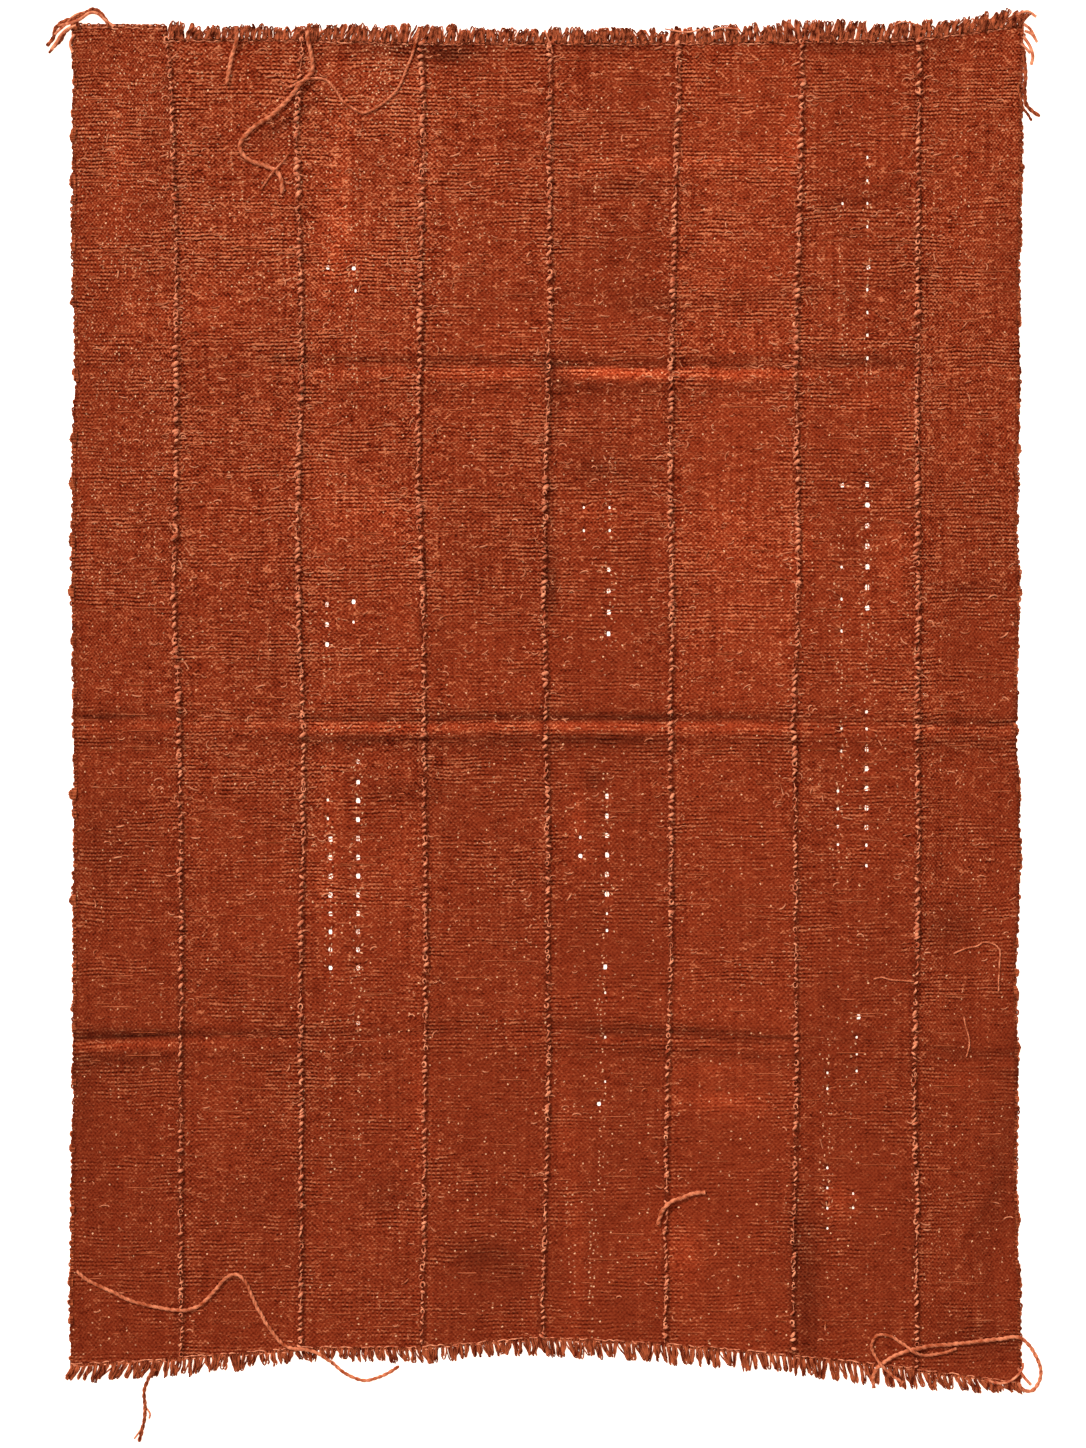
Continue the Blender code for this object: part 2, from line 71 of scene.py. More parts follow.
# storage creases: where each crosses the nine lines, how high the cloth stands on its two sides, and how
# sharply it is marked in each strip, in its height and in the painted shade and painted light along it
creases = [
    {"y": (372, 373, 374, 375, 375, 374, 374, 375, 376),
     "upper": (0.8, 0.8, 1.0, 1.6, 4.2, 3.4, 2.0, 2.2, 2.0),
     "lower": (0.6, 0.8, 1.2, 2.4, 5.2, 4.6, 2.6, 2.6, 2.2),
     "mark": (0.05, 0.1, 0.1, 0.25, 1.0, 0.7, 0.35, 0.1)},
    {"y": (-20, -21, -23, -24, -23, -23, -25, -26, -27),
     "upper": (2.0, 2.2, 2.6, 2.4, 2.2, 2.4, 2.8, 3.0, 2.6),
     "lower": (3.6, 4.0, 4.6, 4.0, 4.2, 4.2, 4.2, 3.6, 3.4),
     "mark": (0.6, 0.25, 0.65, 0.75, 1.0, 0.6, 0.3, 0.7)},
    {"y": (-382, -380, -376, -373, -368, -372, -382, -392, -400),
     "upper": (1.4, 1.2, 1.6, 2.6, 3.6, 3.4, 2.4, 1.6, 1.8),
     "lower": (4.2, 3.0, 1.8, 2.2, 3.4, 3.4, 2.2, 2.0, 2.4),
     "mark": (1.0, 0.3, 0.15, 0.15, 0.6, 0.9, 0.2, 0.6)},
]


def mix(first, second, share):
    return first + (second - first) * share


def ease(value):
    value = min(max(value, 0.0), 1.0)
    return value * value * (3 - 2 * value)


def across(values, line):
    index = min(int(line), len(values) - 2)
    return mix(values[index], values[index + 1], line - index)


def rough(x, y, size, seed=0.0):  # smooth noise from -1 to 1 whose bumps are about size mm apart
    return noise.noise(Vector((x / size, y / size, seed)))


def lineX(line, y):
    rows = layout["lines"]
    for index in range(len(rows) - 2):
        if y >= rows[index + 1][0]:
            break
    else:
        index = len(rows) - 2
    upper, lower = rows[index], rows[index + 1]
    share = min(max((upper[0] - y) / (upper[0] - lower[0]), 0.0), 1.0)
    return mix(across(upper[1:], line), across(lower[1:], line), share)


def edgeWander(line, y):  # handwoven selvedges aren't straight; outer ones are rougher
    outer = line in (0, 8)
    wide = rough(line * 70, y, 34, 3.1) * (2.2 if outer else 0.8)
    fine = rough(line * 90, y, 8, 8.3) * (1.2 if outer else 0.3)
    return wide + fine


def creaseMark(crease, line):
    # strength in this strip, blended over the seams
    middle = min(max(line - 0.5, 0.0), 7.0)
    strip = int(middle)
    share = ease((middle - strip - 0.35) / 0.3)
    return mix(crease["mark"][strip], crease["mark"][min(strip + 1, 7)], share)


def creaseOffset(order, line, x, y):
    return y - across(creases[order]["y"], line) - 1.8 * rough(x, order * 50, 38, 5.0)


# section of a crease in mm: where each lip is up and where it starts to come down, how far it slopes to
# the flat cloth, the height of the trough as a share of the lips, and how far all of it reaches
creaseShape = {"upper": (13, 17), "lower": (11, 14), "slope": 29, "trough": 0.12, "reach": 50}


def creaseHeight(line, x, y):
    height = 0.0
    for order, crease in enumerate(creases):
        offset = creaseOffset(order, line, x, y)
        if abs(offset) > creaseShape["reach"]:
            continue
        strength = mix(0.4, 1.15, creaseMark(crease, line)) * (1.0 + 0.3 * rough(x, order * 90, 45, 9.0))
        lips = {side: across(crease[side], line) * strength for side in ("upper", "lower")}
        side = "upper" if offset > 0 else "lower"
        up, down = creaseShape[side]
        trough = creaseShape["trough"] * max(lips.values())
        fall = 1 - ease((abs(offset) - down) / creaseShape["slope"])
        height += mix(trough, lips[side], ease(abs(offset) / up)) * fall
    return height


# small wrinkles placed one by one: middle, direction in degrees, half length, half width, height in mm
wrinkles = [
    (486, -572, 60, 52, 7, 2.6), (14, 366, 80, 30, 9, 2.4), (60, 415, 12, 60, 11, 1.4),
    (40, 300, -40, 40, 10, 1.6), (330, 540, 4, 90, 12, 1.2), (-60, 250, -8, 70, 12, 1.0),
    (350, 210, 20, 70, 14, 1.3), (120, -105, 14, 70, 12, 1.2), (-350, 300, -6, 80, 12, 0.9),
    (200, -200, -25, 60, 13, 1.0), (470, 60, 12, 60, 12, 1.1), (-470, -160, 10, 60, 12, 0.9),
    (90, -560, 30, 70, 14, 1.0),
]


def wrinkleHeight(x, y):
    height = 0.0
    for middleX, middleY, degrees, halfLength, halfWidth, most in wrinkles:
        dx, dy = x - middleX, y - middleY
        if abs(dx) > 110 or abs(dy) > 110:
            continue
        turn = math.radians(degrees)
        along = dx * math.cos(turn) + dy * math.sin(turn)
        side = dy * math.cos(turn) - dx * math.sin(turn)
        height += most * math.exp(-(along / halfLength) ** 2 - (side / halfWidth) ** 2)
    return height


# heights in mm of the broad waves, the ripples, the puckers beside a seam and the rise at its edges
clothShape = {"waves": 1.3, "ripples": 0.3, "puckers": 0.75, "puckerReach": 13, "seamRise": 0.9,
              "selvedgeRise": 0.4, "riseWidth": 4.0}


def clothHeight(line, x, y):
    # underside of the cloth over the floor, in mm
    shape = clothShape
    height = creaseHeight(line, x, y) + wrinkleHeight(x, y)
    height += (shape["waves"] * max(rough(x, y, 80, 1.0) + 0.1, 0)
               + shape["ripples"] * max(rough(x, y, 27, 2.0) + 0.05, 0))
    nearest = round(line)
    toSeam = abs(x - lineX(nearest, y))
    rise = max(1 - (toSeam / shape["riseWidth"]) ** 2, 0)
    if 0 < nearest < 8:
        pull = math.exp(-toSeam / shape["puckerReach"])
        height += shape["puckers"] * pull * max(rough(x * 0.3, y, 6.5, 4.0) + 0.25, 0)
        height += shape["seamRise"] * rise
    else:
        height += shape["selvedgeRise"] * rise
    return height


def stripEnds(number, share):
    top, bottom = layout["top"][number - 1], layout["bottom"][number - 1]
    return mix(top[0], top[1], share), mix(bottom[0], bottom[1], share)


# open eyelets of the weave, in mm: strip, x, first and last y, count, width, height
eyelets = [
    (3, -247, 107, 62, 3, 4.2, 4.8), (3, -217, 110, 110, 1, 4.2, 4.6), (3, -243, -157, -220, 4, 5.0, 5.6),
    (3, -243, -241, -302, 4, 4.4, 5.0), (3, -212, -70, -93, 2, 4.2, 4.4), (3, -212, -114, -220, 6, 4.6, 5.4),
    (3, -212, -241, -302, 4, 4.4, 5.2), (3, -246, 486, 486, 1, 4.2, 4.2), (3, -217, 485, 485, 1, 4.4, 4.4),
    (3, -212, -364, -364, 1, 4.2, 4.2), (5, 70, 146, 74, 4, 4.2, 4.8), (5, 68, -109, -219, 6, 4.4, 5.2),
    (5, 38, -176, -176, 1, 4.2, 4.6), (5, 66, -301, -301, 1, 4.4, 5.2), (5, 59, -455, -455, 1, 4.2, 4.4),
    (7, 361, 242, 103, 7, 4.8, 5.4), (7, 333, 241, 241, 1, 4.2, 4.6), (7, 360, -56, -144, 5, 4.6, 5.2),
    (7, 362, 486, 486, 1, 4.2, 4.8), (7, 351, -357, -357, 1, 4.6, 5.2),
]
# smaller ones, under 4 mm, that the solids leave closed
pinEyelets = [
    (3, -217, 87, 87, 1, 2.6, 3.0), (3, -215, 460, 460, 1, 2.4, 4.0), (5, 38, -155, -155, 1, 2.6, 3.0),
    (5, 71, 216, 190, 2, 2.4, 3.2), (5, 42, 216, 190, 2, 2.2, 2.8), (5, 68, -241, -260, 2, 2.6, 3.0),
    (7, 361, 610, 532, 4, 2.2, 3.2), (7, 361, 461, 384, 4, 2.6, 3.8), (7, 333, 558, 558, 1, 2.4, 3.0),
    (7, 332, 149, 77, 3, 2.6, 3.2), (7, 328, -103, -163, 4, 2.6, 3.2), (7, 332, -33, -58, 2, 2.4, 3.0),
    (7, 360, -14, -33, 2, 3.0, 3.4), (7, 360, -164, -187, 2, 2.8, 3.4), (7, 349, -380, -418, 3, 2.4, 3.0),
    (7, 316, -420, -438, 2, 2.4, 3.0), (7, 316, -527, -595, 4, 2.2, 3.0), (7, 345, -556, -572, 2, 2.2, 2.8),
    (8, 528, -506, -506, 1, 2.6, 3.4), (3, -246, -134, -113, 2, 2.6, 3.2), (5, 66, -330, -430, 3, 2.2, 2.8),
]


def hexToLinear(code):
    channels = [int(code[index:index + 2], 16) / 255 for index in (1, 3, 5)]
    return [c / 12.92 if c <= 0.04045 else ((c + 0.055) / 1.055) ** 2.4 for c in channels] + [1.0]


def addNode(tree, kind, settings, links):
    # one node with its settings and links; a setting is a property of the node or one of its inputs
    node = tree.nodes.new(kind)
    for key, value in settings.items():
        if isinstance(key, str) and hasattr(node, key):
            setattr(node, key, value)
        else:
            node.inputs[key].default_value = value
    for key, socket in links.items():
        tree.links.new(socket, node.inputs[key])
    return node


def layNodes(tree, steps):
    # each step is a name, the kind of node with its operation, its settings and its links; a link names
    # an earlier step, with a dot before the output where that isn't the first one
    made = {}
    for name, node, settings, links in steps:
        kind, *operation = node.split()
        if operation:
            settings = {"operation": operation[0], **settings}
        sources = {}
        for socket, source in links.items():
            earlier, *output = source.split(".")
            sources[socket] = made[earlier].outputs[output[0] if output else 0]
        made[name] = addNode(tree, "ShaderNode" + kind, settings, sources)
    return made


softStep = {"interpolation_type": "SMOOTHSTEP"}  # its inputs 1 to 4: from low, from high, to low, to high


def rampStops(node, stops):
    ramp = node.color_ramp
    while len(ramp.elements) < len(stops):
        ramp.elements.new(0.5)
    for element, (place, colour) in zip(ramp.elements, stops):
        element.position = place
        element.color = colour


def addObject(name, data):
    piece = bpy.data.objects.new(name, data)
    bpy.context.scene.collection.objects.link(piece)
    return piece


def newMaterial(name, roughness):
    material = bpy.data.materials.new(name)
    material.use_nodes = True
    tree = material.node_tree
    shader = tree.nodes["Principled BSDF"]
    shader.inputs["Roughness"].default_value = roughness
    shader.inputs["Specular IOR Level"].default_value = 0.04  # dry fibres have next to no sheen
    return material, tree, shader


weaveLook = {
    # the colour ramp runs from painted shade in the hollows between picks to painted light on the crests, and
    # it also carries the yarn's own uneven tone
    "paintedShadeHollow": "#3e0901", "low": "#6c1f0a", "cloth": "#842e15", "raised": "#963d1f", "paintedLightCrest": "#c46c46",
    "fleck": "#f0b083",
    "pick": 4.3 * mm,   # heavy weft picks lie this far apart
    "net": 2.6 * mm,    # and the finer crossings this far
    "drift": 11 * mm,   # the picks wander within this
    "bumpDepth": 1.5 * mm,
    # uneven yarn: features per metre across and along the strip, then detail
    "yarn": {"grain": (430, 560, 1), "knub": (265, 300, 1), "warp": (230, 6, 1), "thick": (13, 330, 1),
             "ribs": (38, 70, 2), "ribPatch": (6, 20, 1)},
    # overspun yarn in short thin lines: features per metre of its course and of where it breaks off
    "lines": {"float": ((42, 240), (75, 210)), "twist": ((130, 185), (120, 160)),
              "sunk": ((30, 230), (45, 190))},
    "lineWidth": 0.06,
    # undyed flecks: their spacing, size as a share of it, shift, and the share of them that shows
    "flecks": {"nep": (11 * mm, 0.1, 0.0, 0.22), "open": (5.5 * mm, 0.2, 0.7, None)},
    # how much each counts in the colour and in the relief, and whether it is centred for the colour
    # in the colour, ribbed and net paint light on the crowns and crossings and shade between them, and the
    # sunk lines are painted shade
    "weights": {"ribbed": (1.02, 0.75, False), "grain": (1.1, 0.5, True), "rowTone": (0.5, 0.5, True),
                "net": (0.25, 0.15, False), "curl": (0.38, 0.55, False), "sunk": (-0.22, 0, False),
                "knub": (0.6, 0.5, True), "warp": (0.4, 0.3, True), "slub": (0.22, 0.6, False)},
}


def makeWeaveMaterial():
    # handspun cotton, plain weave, dyed in a rust-red bath: dull and dry, with undyed flecks and uneven yarn;
    # the raised yarns are paler with painted light and the hollows between picks darker with painted shade
    look = weaveLook
    material, tree, shader = newMaterial("rustDyedHandspunCotton", 0.94)
    steps = [
        ("place", "UVMap", {"uv_map": "weave"}, {}),
        # this attribute holds the dye's uneven tone with painted shade and painted light multiplied in
        ("dye", "Attribute", {"attribute_name": "dye"}, {}),
        ("relief", "Attribute", {"attribute_name": "relief"}, {}),
        ("lace", "Attribute", {"attribute_name": "lace"}, {}),
        ("drift", "TexNoise", {"Scale": 13, "Detail": 4, "Roughness": 0.55}, {"Vector": "place"}),
        ("centred", "VectorMath SUBTRACT", {1: (0.5, 0.5, 0.5)}, {0: "drift.Color"}),
        ("shift", "VectorMath SCALE", {"Scale": look["drift"]}, {0: "centred"}),
        ("wandered", "VectorMath ADD", {}, {0: "place", 1: "shift"}),
        # rows of weft yarn, each with its own thickness along its way
        ("axes", "SeparateXYZ", {}, {0: "wandered"}),
        ("along", "Math DIVIDE", {1: look["pick"]}, {0: "axes.Y"}),
        ("row", "Math FLOOR", {}, {0: "along"}),
        ("inRow", "Math FRACT", {}, {0: "along"}),
        ("arch", "Math MULTIPLY", {1: math.pi}, {0: "inRow"}),
        ("profile", "Math SINE", {}, {0: "arch"}),
        ("acrossRow", "Math MULTIPLY", {1: 45}, {0: "axes.X"}),
        ("rowStart", "Math MULTIPLY", {1: 3.7}, {0: "row"}),
        ("rowPlace", "CombineXYZ", {}, {0: "acrossRow", 1: "rowStart"}),
        ("rowTone", "TexNoise", {"Scale": 1.0, "Detail": 1}, {"Vector": "rowPlace"}),
        # the weft passes over and under the warp
        ("acrossNet", "Math MULTIPLY", {1: math.pi / look["net"]}, {0: "axes.X"}),
        ("alongNet", "Math MULTIPLY", {1: math.pi / look["net"]}, {0: "axes.Y"}),
        ("overWarp", "Math SINE", {}, {0: "acrossNet"}),
        ("overWeft", "Math SINE", {}, {0: "alongNet"}),
        ("net", "Math MULTIPLY", {}, {0: "overWarp", 1: "overWeft"}),
    ]
    for name, (acrossScale, alongScale, detail) in look["yarn"].items():
        steps += [
            (name + "Place", "Mapping", {"Scale": (acrossScale, alongScale, 1)}, {"Vector": "wandered"}),
            (name, "TexNoise", {"Scale": 1.0, "Detail": detail}, {"Vector": name + "Place"}),
        ]
    steps += [
        ("ribHeight", "MapRange", {**softStep, 1: 0.38, 2: 0.62, 3: 0.25, 4: 0.95}, {"Value": "ribs"}),
        ("ribShare", "MapRange", {**softStep, 1: 0.44, 2: 0.60, 3: 0.2, 4: 1.0}, {"Value": "ribPatch"}),
        ("ribbing", "Math MULTIPLY", {}, {0: "ribHeight", 1: "ribShare"}),
        ("crown", "Math SUBTRACT", {1: 0.62}, {0: "profile"}),
        ("ribbed", "Math MULTIPLY", {}, {0: "crown", 1: "ribbing"}),
        ("slub", "MapRange", {**softStep, 1: 0.67, 2: 0.735}, {"Value": "thick"}),
    ]
    for name, (course, gaps) in look["lines"].items():
        steps += [
            (name + "Place", "Mapping", {"Scale": (*course, 1)}, {"Vector": "wandered"}),
            (name + "Course", "TexNoise", {"Scale": 1.0, "Detail": 1}, {"Vector": name + "Place"}),
            (name + "Side", "Math SUBTRACT", {1: 0.5}, {0: name + "Course"}),
            (name + "Away", "Math ABSOLUTE", {}, {0: name + "Side"}),
            (name + "Line", "MapRange", {**softStep, 1: look["lineWidth"], 2: look["lineWidth"] * 0.3},
             {"Value": name + "Away"}),
            (name + "GapPlace", "Mapping", {"Scale": (*gaps, 1)}, {"Vector": "wandered"}),
            (name + "Gaps", "TexNoise", {"Scale": 1.0, "Detail": 0}, {"Vector": name + "GapPlace"}),
            (name + "Shown", "MapRange", {**softStep, 1: 0.56, 2: 0.62}, {"Value": name + "Gaps"}),
            (name, "Math MULTIPLY", {}, {0: name + "Line", 1: name + "Shown"}),
        ]
    steps.append(("curl", "Math MAXIMUM", {}, {0: "float", 1: "twist"}))
    for name, (spacing, size, shift, share) in look["flecks"].items():
        limit, laceLimit = ({}, {1: "lace.Fac"}) if share is None else ({1: share}, {})
        steps += [
            (name + "Place", "Mapping", {"Location": (shift, shift, 0)}, {"Vector": "wandered"}),
            (name + "Cells", "TexVoronoi", {"voronoi_dimensions": "2D", "Scale": 1 / spacing},
             {"Vector": name + "Place"}),
            (name + "Uneven", "Math MULTIPLY_ADD", {1: size * 2.5, 2: -size * 1.25},
             {0: "grain"}),
            (name + "Ragged", "Math ADD", {},
             {0: name + "Cells.Distance", 1: name + "Uneven"}),
            (name + "Spot", "MapRange", {**softStep, 1: size, 2: size * 0.5}, {"Value": name + "Ragged"}),
            (name + "Draw", "SeparateColor", {}, {0: name + "Cells.Color"}),
            (name + "Kept", "Math LESS_THAN", limit, {0: name + "Draw.Red", **laceLimit}),
            (name + "Pale", "MapRange", {**softStep, 3: 0.35}, {"Value": name + "Draw.Green"}),
            (name + "Whole", "Math MULTIPLY", {}, {0: name + "Spot", 1: name + "Kept"}),
            (name, "Math MULTIPLY", {}, {0: name + "Whole", 1: name + "Pale"}),
        ]
    steps.append(("fleckTone", "Math MAXIMUM", {}, {0: "nep", 1: "open"}))
    # the colour and the relief are weighted sums of all this
    centred = sum(weights[0] for weights in look["weights"].values() if weights[2])
    for column, total, start in ((0, "Tone", -0.5 * centred), (1, "Height", 0.0)):
        settings, before = {2: start}, {}
        for name, weights in look["weights"].items():
            steps.append((name + total, "Math MULTIPLY_ADD", {1: weights[column], **settings},
                          {0: name, **before}))
            settings, before = {}, {2: name + total}
    steps += [
        ("tone", "Math MULTIPLY_ADD", {2: 0.5, "use_clamp": True},
         {0: "slubTone", 1: "relief.Fac"}),
        ("colour", "ValToRGB", {}, {0: "tone"}),
        # the colour darkened and lightened by the dye tone and its painted shade and light
        ("dyed", "VectorMath SCALE", {}, {0: "colour", "Scale": "dye.Fac"}),
        ("flecked", "Mix", {"data_type": "RGBA", 7: hexToLinear(look["fleck"])}, {0: "fleckTone", 6: "dyed"}),
        ("height", "Math MULTIPLY", {}, {0: "slubHeight", 1: "relief.Fac"}),
        ("bump", "Bump", {"Strength": 0.8, "Distance": look["bumpDepth"]}, {"Height": "height"}),
    ]
    made = layNodes(tree, steps)
    stops = zip((0.0, 0.30, 0.5, 0.74, 1.0), ("paintedShadeHollow", "low", "cloth", "raised", "paintedLightCrest"))
    rampStops(made["colour"], [(at, hexToLinear(look[name])) for at, name in stops])
    tree.links.new(made["flecked"].outputs[2], shader.inputs["Base Color"])
    tree.links.new(made["bump"].outputs[0], shader.inputs["Normal"])
    return material


yarnLook = {
    "sewing": {"name": "rustDyedSewingYarn", "low": "#a64628", "high": "#f29a70", "patch": (150, 150)},
    "fringe": {"name": "rustDyedWarpEnds", "low": "#561405", "high": "#b65a35", "patch": (330, 90)},
    "fringeTop": {"name": "rustDyedTangledEnds", "low": "#460f03", "high": "#bd5e39", "patch": (240, 130)},
    "loose": {"name": "fadedCottonYarn", "low": "#9c4221", "high": "#e2865e", "patch": (130, 130)},
    "slub": {"name": "raisedWeftSlub", "low": "#8a3717", "high": "#bd623e", "patch": (60, 150)},
    "curl": {"name": "overspunWeftCurl", "low": "#913a19", "high": "#dc8a63", "patch": (110, 110)},
}


def makeYarnMaterial(key):
    # twisted cotton yarn: matt and a little hairy, paler and darker in patches along it
    look = yarnLook[key]
    material, tree, shader = newMaterial(look["name"], 0.92)
    made = layNodes(tree, [
        ("place", "TexCoord", {}, {}),
        ("patchPlace", "Mapping", {"Scale": (*look["patch"], 150)}, {"Vector": "place.Object"}),
        ("patch", "TexNoise", {"Scale": 1.0, "Detail": 1}, {"Vector": "patchPlace"}),
        ("fibre", "TexNoise", {"Scale": 1400, "Detail": 2}, {"Vector": "place.Object"}),
        ("wear", "Mix", {"Factor": 0.35}, {2: "patch", 3: "fibre"}),
        ("colour", "ValToRGB", {}, {0: "wear"}),
        ("bump", "Bump", {"Strength": 0.6, "Distance": 0.4 * mm}, {"Height": "fibre"}),
    ])
    rampStops(made["colour"], [(0.37, hexToLinear(look["low"])), (0.63, hexToLinear(look["high"]))])
    tree.links.new(made["colour"].outputs[0], shader.inputs["Base Color"])
    tree.links.new(made["bump"].outputs[0], shader.inputs["Normal"])
    return material


weaveMaterial = makeWeaveMaterial()
yarnMaterials = {key: makeYarnMaterial(key) for key in yarnLook}
print("materials made")


def finishPiece(piece, material, slotName, *nodes):
    piece.data.materials.clear()
    piece.data.materials.append(material)
    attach(piece, "root")
    if nodes:
        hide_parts(*nodes)
    return piece


stripSettings = {
    "columns": 34,
    "rows": 372,
    "edgePacking": 0.075,   # columns of the mesh stand closer together near the seams
    "overlap": 0.5,         # how far a strip reaches past its seam line, in mm
    "thickness": 1.4 * mm,
    "floorGap": 0.1,        # in mm, so that the cloth and the floor don't share a face
    # each strip's own coarseness of weave and depth of dye
    "coarseness": (1.0, 1.1, 1.08, 0.95, 0.86, 0.92, 0.92, 0.98),
    "tone": (0.96, 1.0, 1.03, 0.98, 0.97, 1.06, 0.98, 0.97),
    # metres of the pattern across a strip, and how far it moves on from one strip to the next
    "patternWidth": 0.142,
    "patternShift": (0.37, 0.113),
}


# soft darker and paler places seen in the cloth, in mm: x, y, half width, half height, turn in degrees,
# amount; the dark ones are painted shade in hollows, puckers and creases, and one is a painted shadow cast
# by a loose yarn; the pale ones are painted light on the lit slopes of folds and creases, and in places worn
# cloth
paintedLightShadeAndWear = [
    (6, 371, 12, 14, 0, -0.58), (10, 330, 9, 25, 0, -0.23),
    (82, 367, 45, 9, 0, 0.5), (215, 364, 70, 6, 0, 0.18),
    (-75, 366, 60, 7, 0, 0.31), (-160, 383, 170, 4.5, 0, -0.34), (200, 384, 90, 4.5, 0, -0.3),
    (350, 382, 50, 7, -3, -0.34), (-235, 368, 70, 7, 0, 0.22), (-150, 732, 110, 11, 0, -0.38),
    (-112, 726, 34, 12, 0, -0.5), (60, 736, 60, 8, 0, -0.4),
    (350, 738, 110, 9, 0, -0.43), (-400, 745, 100, 5, 0, -0.12),
    (55, 258, 28, 14, 0, -0.28), (-195, 208, 55, 30, 0, 0.25),
    (60, 205, 45, 28, 0, 0.22), (205, 185, 65, 55, 0, 0.19),
    (290, 178, 14, 26, 0, 0.34), (390, 170, 14, 70, 0, 0.22),
    (6, 125, 7, 32, 0, -0.5), (3, 230, 6, 60, 0, -0.25),
    (475, 125, 50, 10, 0, -0.22), (120, 445, 40, 12, 0, -0.31), (250, 455, 90, 9, 8, -0.22),
    (340, 560, 60, 14, 12, -0.23), (120, 605, 120, 6, 2, 0.15),
    (80, 575, 60, 9, 4, -0.22), (275, 625, 16, 50, 0, 0.22),
    (370, 340, 40, 20, 25, 0.23), (-440, 435, 30, 22, 0, 0.22), (-370, 445, 30, 25, 0, 0.16),
    (-235, 520, 20, 60, 0, 0.19), (-160, -105, 40, 14, 0, -0.22), (55, -90, 14, 12, 0, -0.31),
    (35, -140, 9, 40, 0, 0.31), (-190, -180, 60, 40, 0, 0.09), (-490, -150, 40, 40, 0, -0.16),
    (450, -255, 30, 25, 0, -0.25), (470, -425, 40, 12, 0, 0.25), (195, -452, 55, 10, -4, 0.37),
    (190, -415, 50, 8, 0, 0.19), (155, -625, 22, 30, 20, 0.31), (330, -565, 18, 20, 0, 0.34),
    (-75, -625, 30, 20, 0, -0.31), (-180, -560, 30, 25, 0, -0.19), (290, -620, 25, 60, 0, -0.25),
    (510, -540, 25, 110, -10, -0.22), (500, -720, 60, 20, 0, -0.23), (-520, -420, 20, 200, 0, -0.12),
    (85, -376, 85, 4.5, -2, -0.5), (-470, -375, 85, 4.5, 0, -0.5), (215, -384, 75, 4.5, -5, -0.5),
    (470, -403, 75, 4.5, -3, -0.4), (-300, -376, 110, 5, 0, -0.24), (-110, -376, 90, 5, 0, -0.14),
    (-190, -45, 110, 5, 0, -0.36), (50, -45, 75, 5, 0, -0.28),
    (-150, -30, 120, 5, 0, 0.16), (40, -31, 70, 5, 0, 0.22),
    (230, -32, 90, 5, 0, 0.12), (-60, -17, 160, 4, 0, -0.28),
    (170, -18, 140, 4, 0, -0.28), (-500, -22, 40, 8, 0, -0.31),
    (-500, -38, 45, 6, 0, 0.2), (480, -30, 60, 6, -4, -0.22), (430, -15, 60, 6, 0, 0.1),
    # the first place below is a painted shadow cast by the loose yarn yarn_seam_2
    (-290, 652, 46, 7, 35, -0.4), (-250, 200, 10, 330, 0, 0.08),
    (-243, -200, 9, 150, 0, 0.16), (-140, -470, 14, 90, 0, 0.2),
    (-135, -700, 10, 120, 0, 0.12), (22, -480, 12, 130, 0, 0.16),
    (36, -640, 10, 100, 0, 0.14), (-482, 600, 13, 90, 0, 0.16),
    (-230, 560, 15, 110, 0, 0.16), (-135, 620, 12, 110, 0, 0.14),
    (460, 520, 24, 90, 0, 0.14), (292, -700, 14, 80, 0, -0.24),
    (150, 604, 140, 5, 1, 0.2), (-10, 455, 60, 8, 4, -0.14),
    (420, 475, 40, 8, 12, -0.14), (545, 120, 14, 40, 0, 0.12),
    (-40, -640, 26, 26, 0, -0.16), (-330, -560, 60, 60, 0, -0.07),
    (240, 90, 70, 30, 0, 0.08), (-330, 20, 60, 40, 0, -0.06),
    (400, 300, 40, 16, -25, 0.16), (-500, 300, 30, 60, 0, -0.07),
    (120, -620, 30, 60, 0, 0.12), (-540, 0, 16, 14, 0, -0.3),
]


# multiplies painted shade, painted light and worn places into one tone
def paintedLightShadeAndWearAt(x, y):
    tone = 1.0
    for placeX, placeY, halfWidth, halfHeight, turn, amount in paintedLightShadeAndWear:
        dx, dy = x - placeX, y - placeY
        reachY = 2.6 * max(halfWidth * abs(turn) / 30, halfHeight) + 8
        if abs(dx) > 2.6 * max(halfWidth, halfHeight) or abs(dy) > reachY:
            continue
        angle = math.radians(turn)
        along = (dx * math.cos(angle) + dy * math.sin(angle)) / halfWidth
        side = (dy * math.cos(angle) - dx * math.sin(angle)) / halfHeight
        tone *= 1 + amount * math.exp(-along * along - side * side)
    return tone


# the dye's uneven tone, with painted shade and painted light multiplied into it
dyeAndPaintedLightLook = {
    "ends": (0.84, 1.04),  # browner at the bottom, redder and paler at the top
    "bottomY": -780, "length": 1560,
    # painted shade and painted light along a crease: dark in its trough, pale on the lit lip below, darker
    # where that lip falls away; amount, then place and half width in mm
    "creaseLines": ((-0.56, 1.5, 2.7), (0.32, -8.0, 5.8), (-0.22, -21, 7)),
    # the same for a seam, as painted shade: the hollow of the join itself, then the painted shadows that
    # lean to its right or its left
    "joinLine": (0.4, 0.0, 2.0), "shadowPlace": 3.4, "shadowWidth": 1.9,
    "rightShadow": (0.1, 0.34), "leftShadow": (0.28, 0.0),
    # painted shade along the outer selvedges: amount and half width in mm
    "selvedgeLine": (0.34, 3.4),  # the outer selvedges roll under a little
}


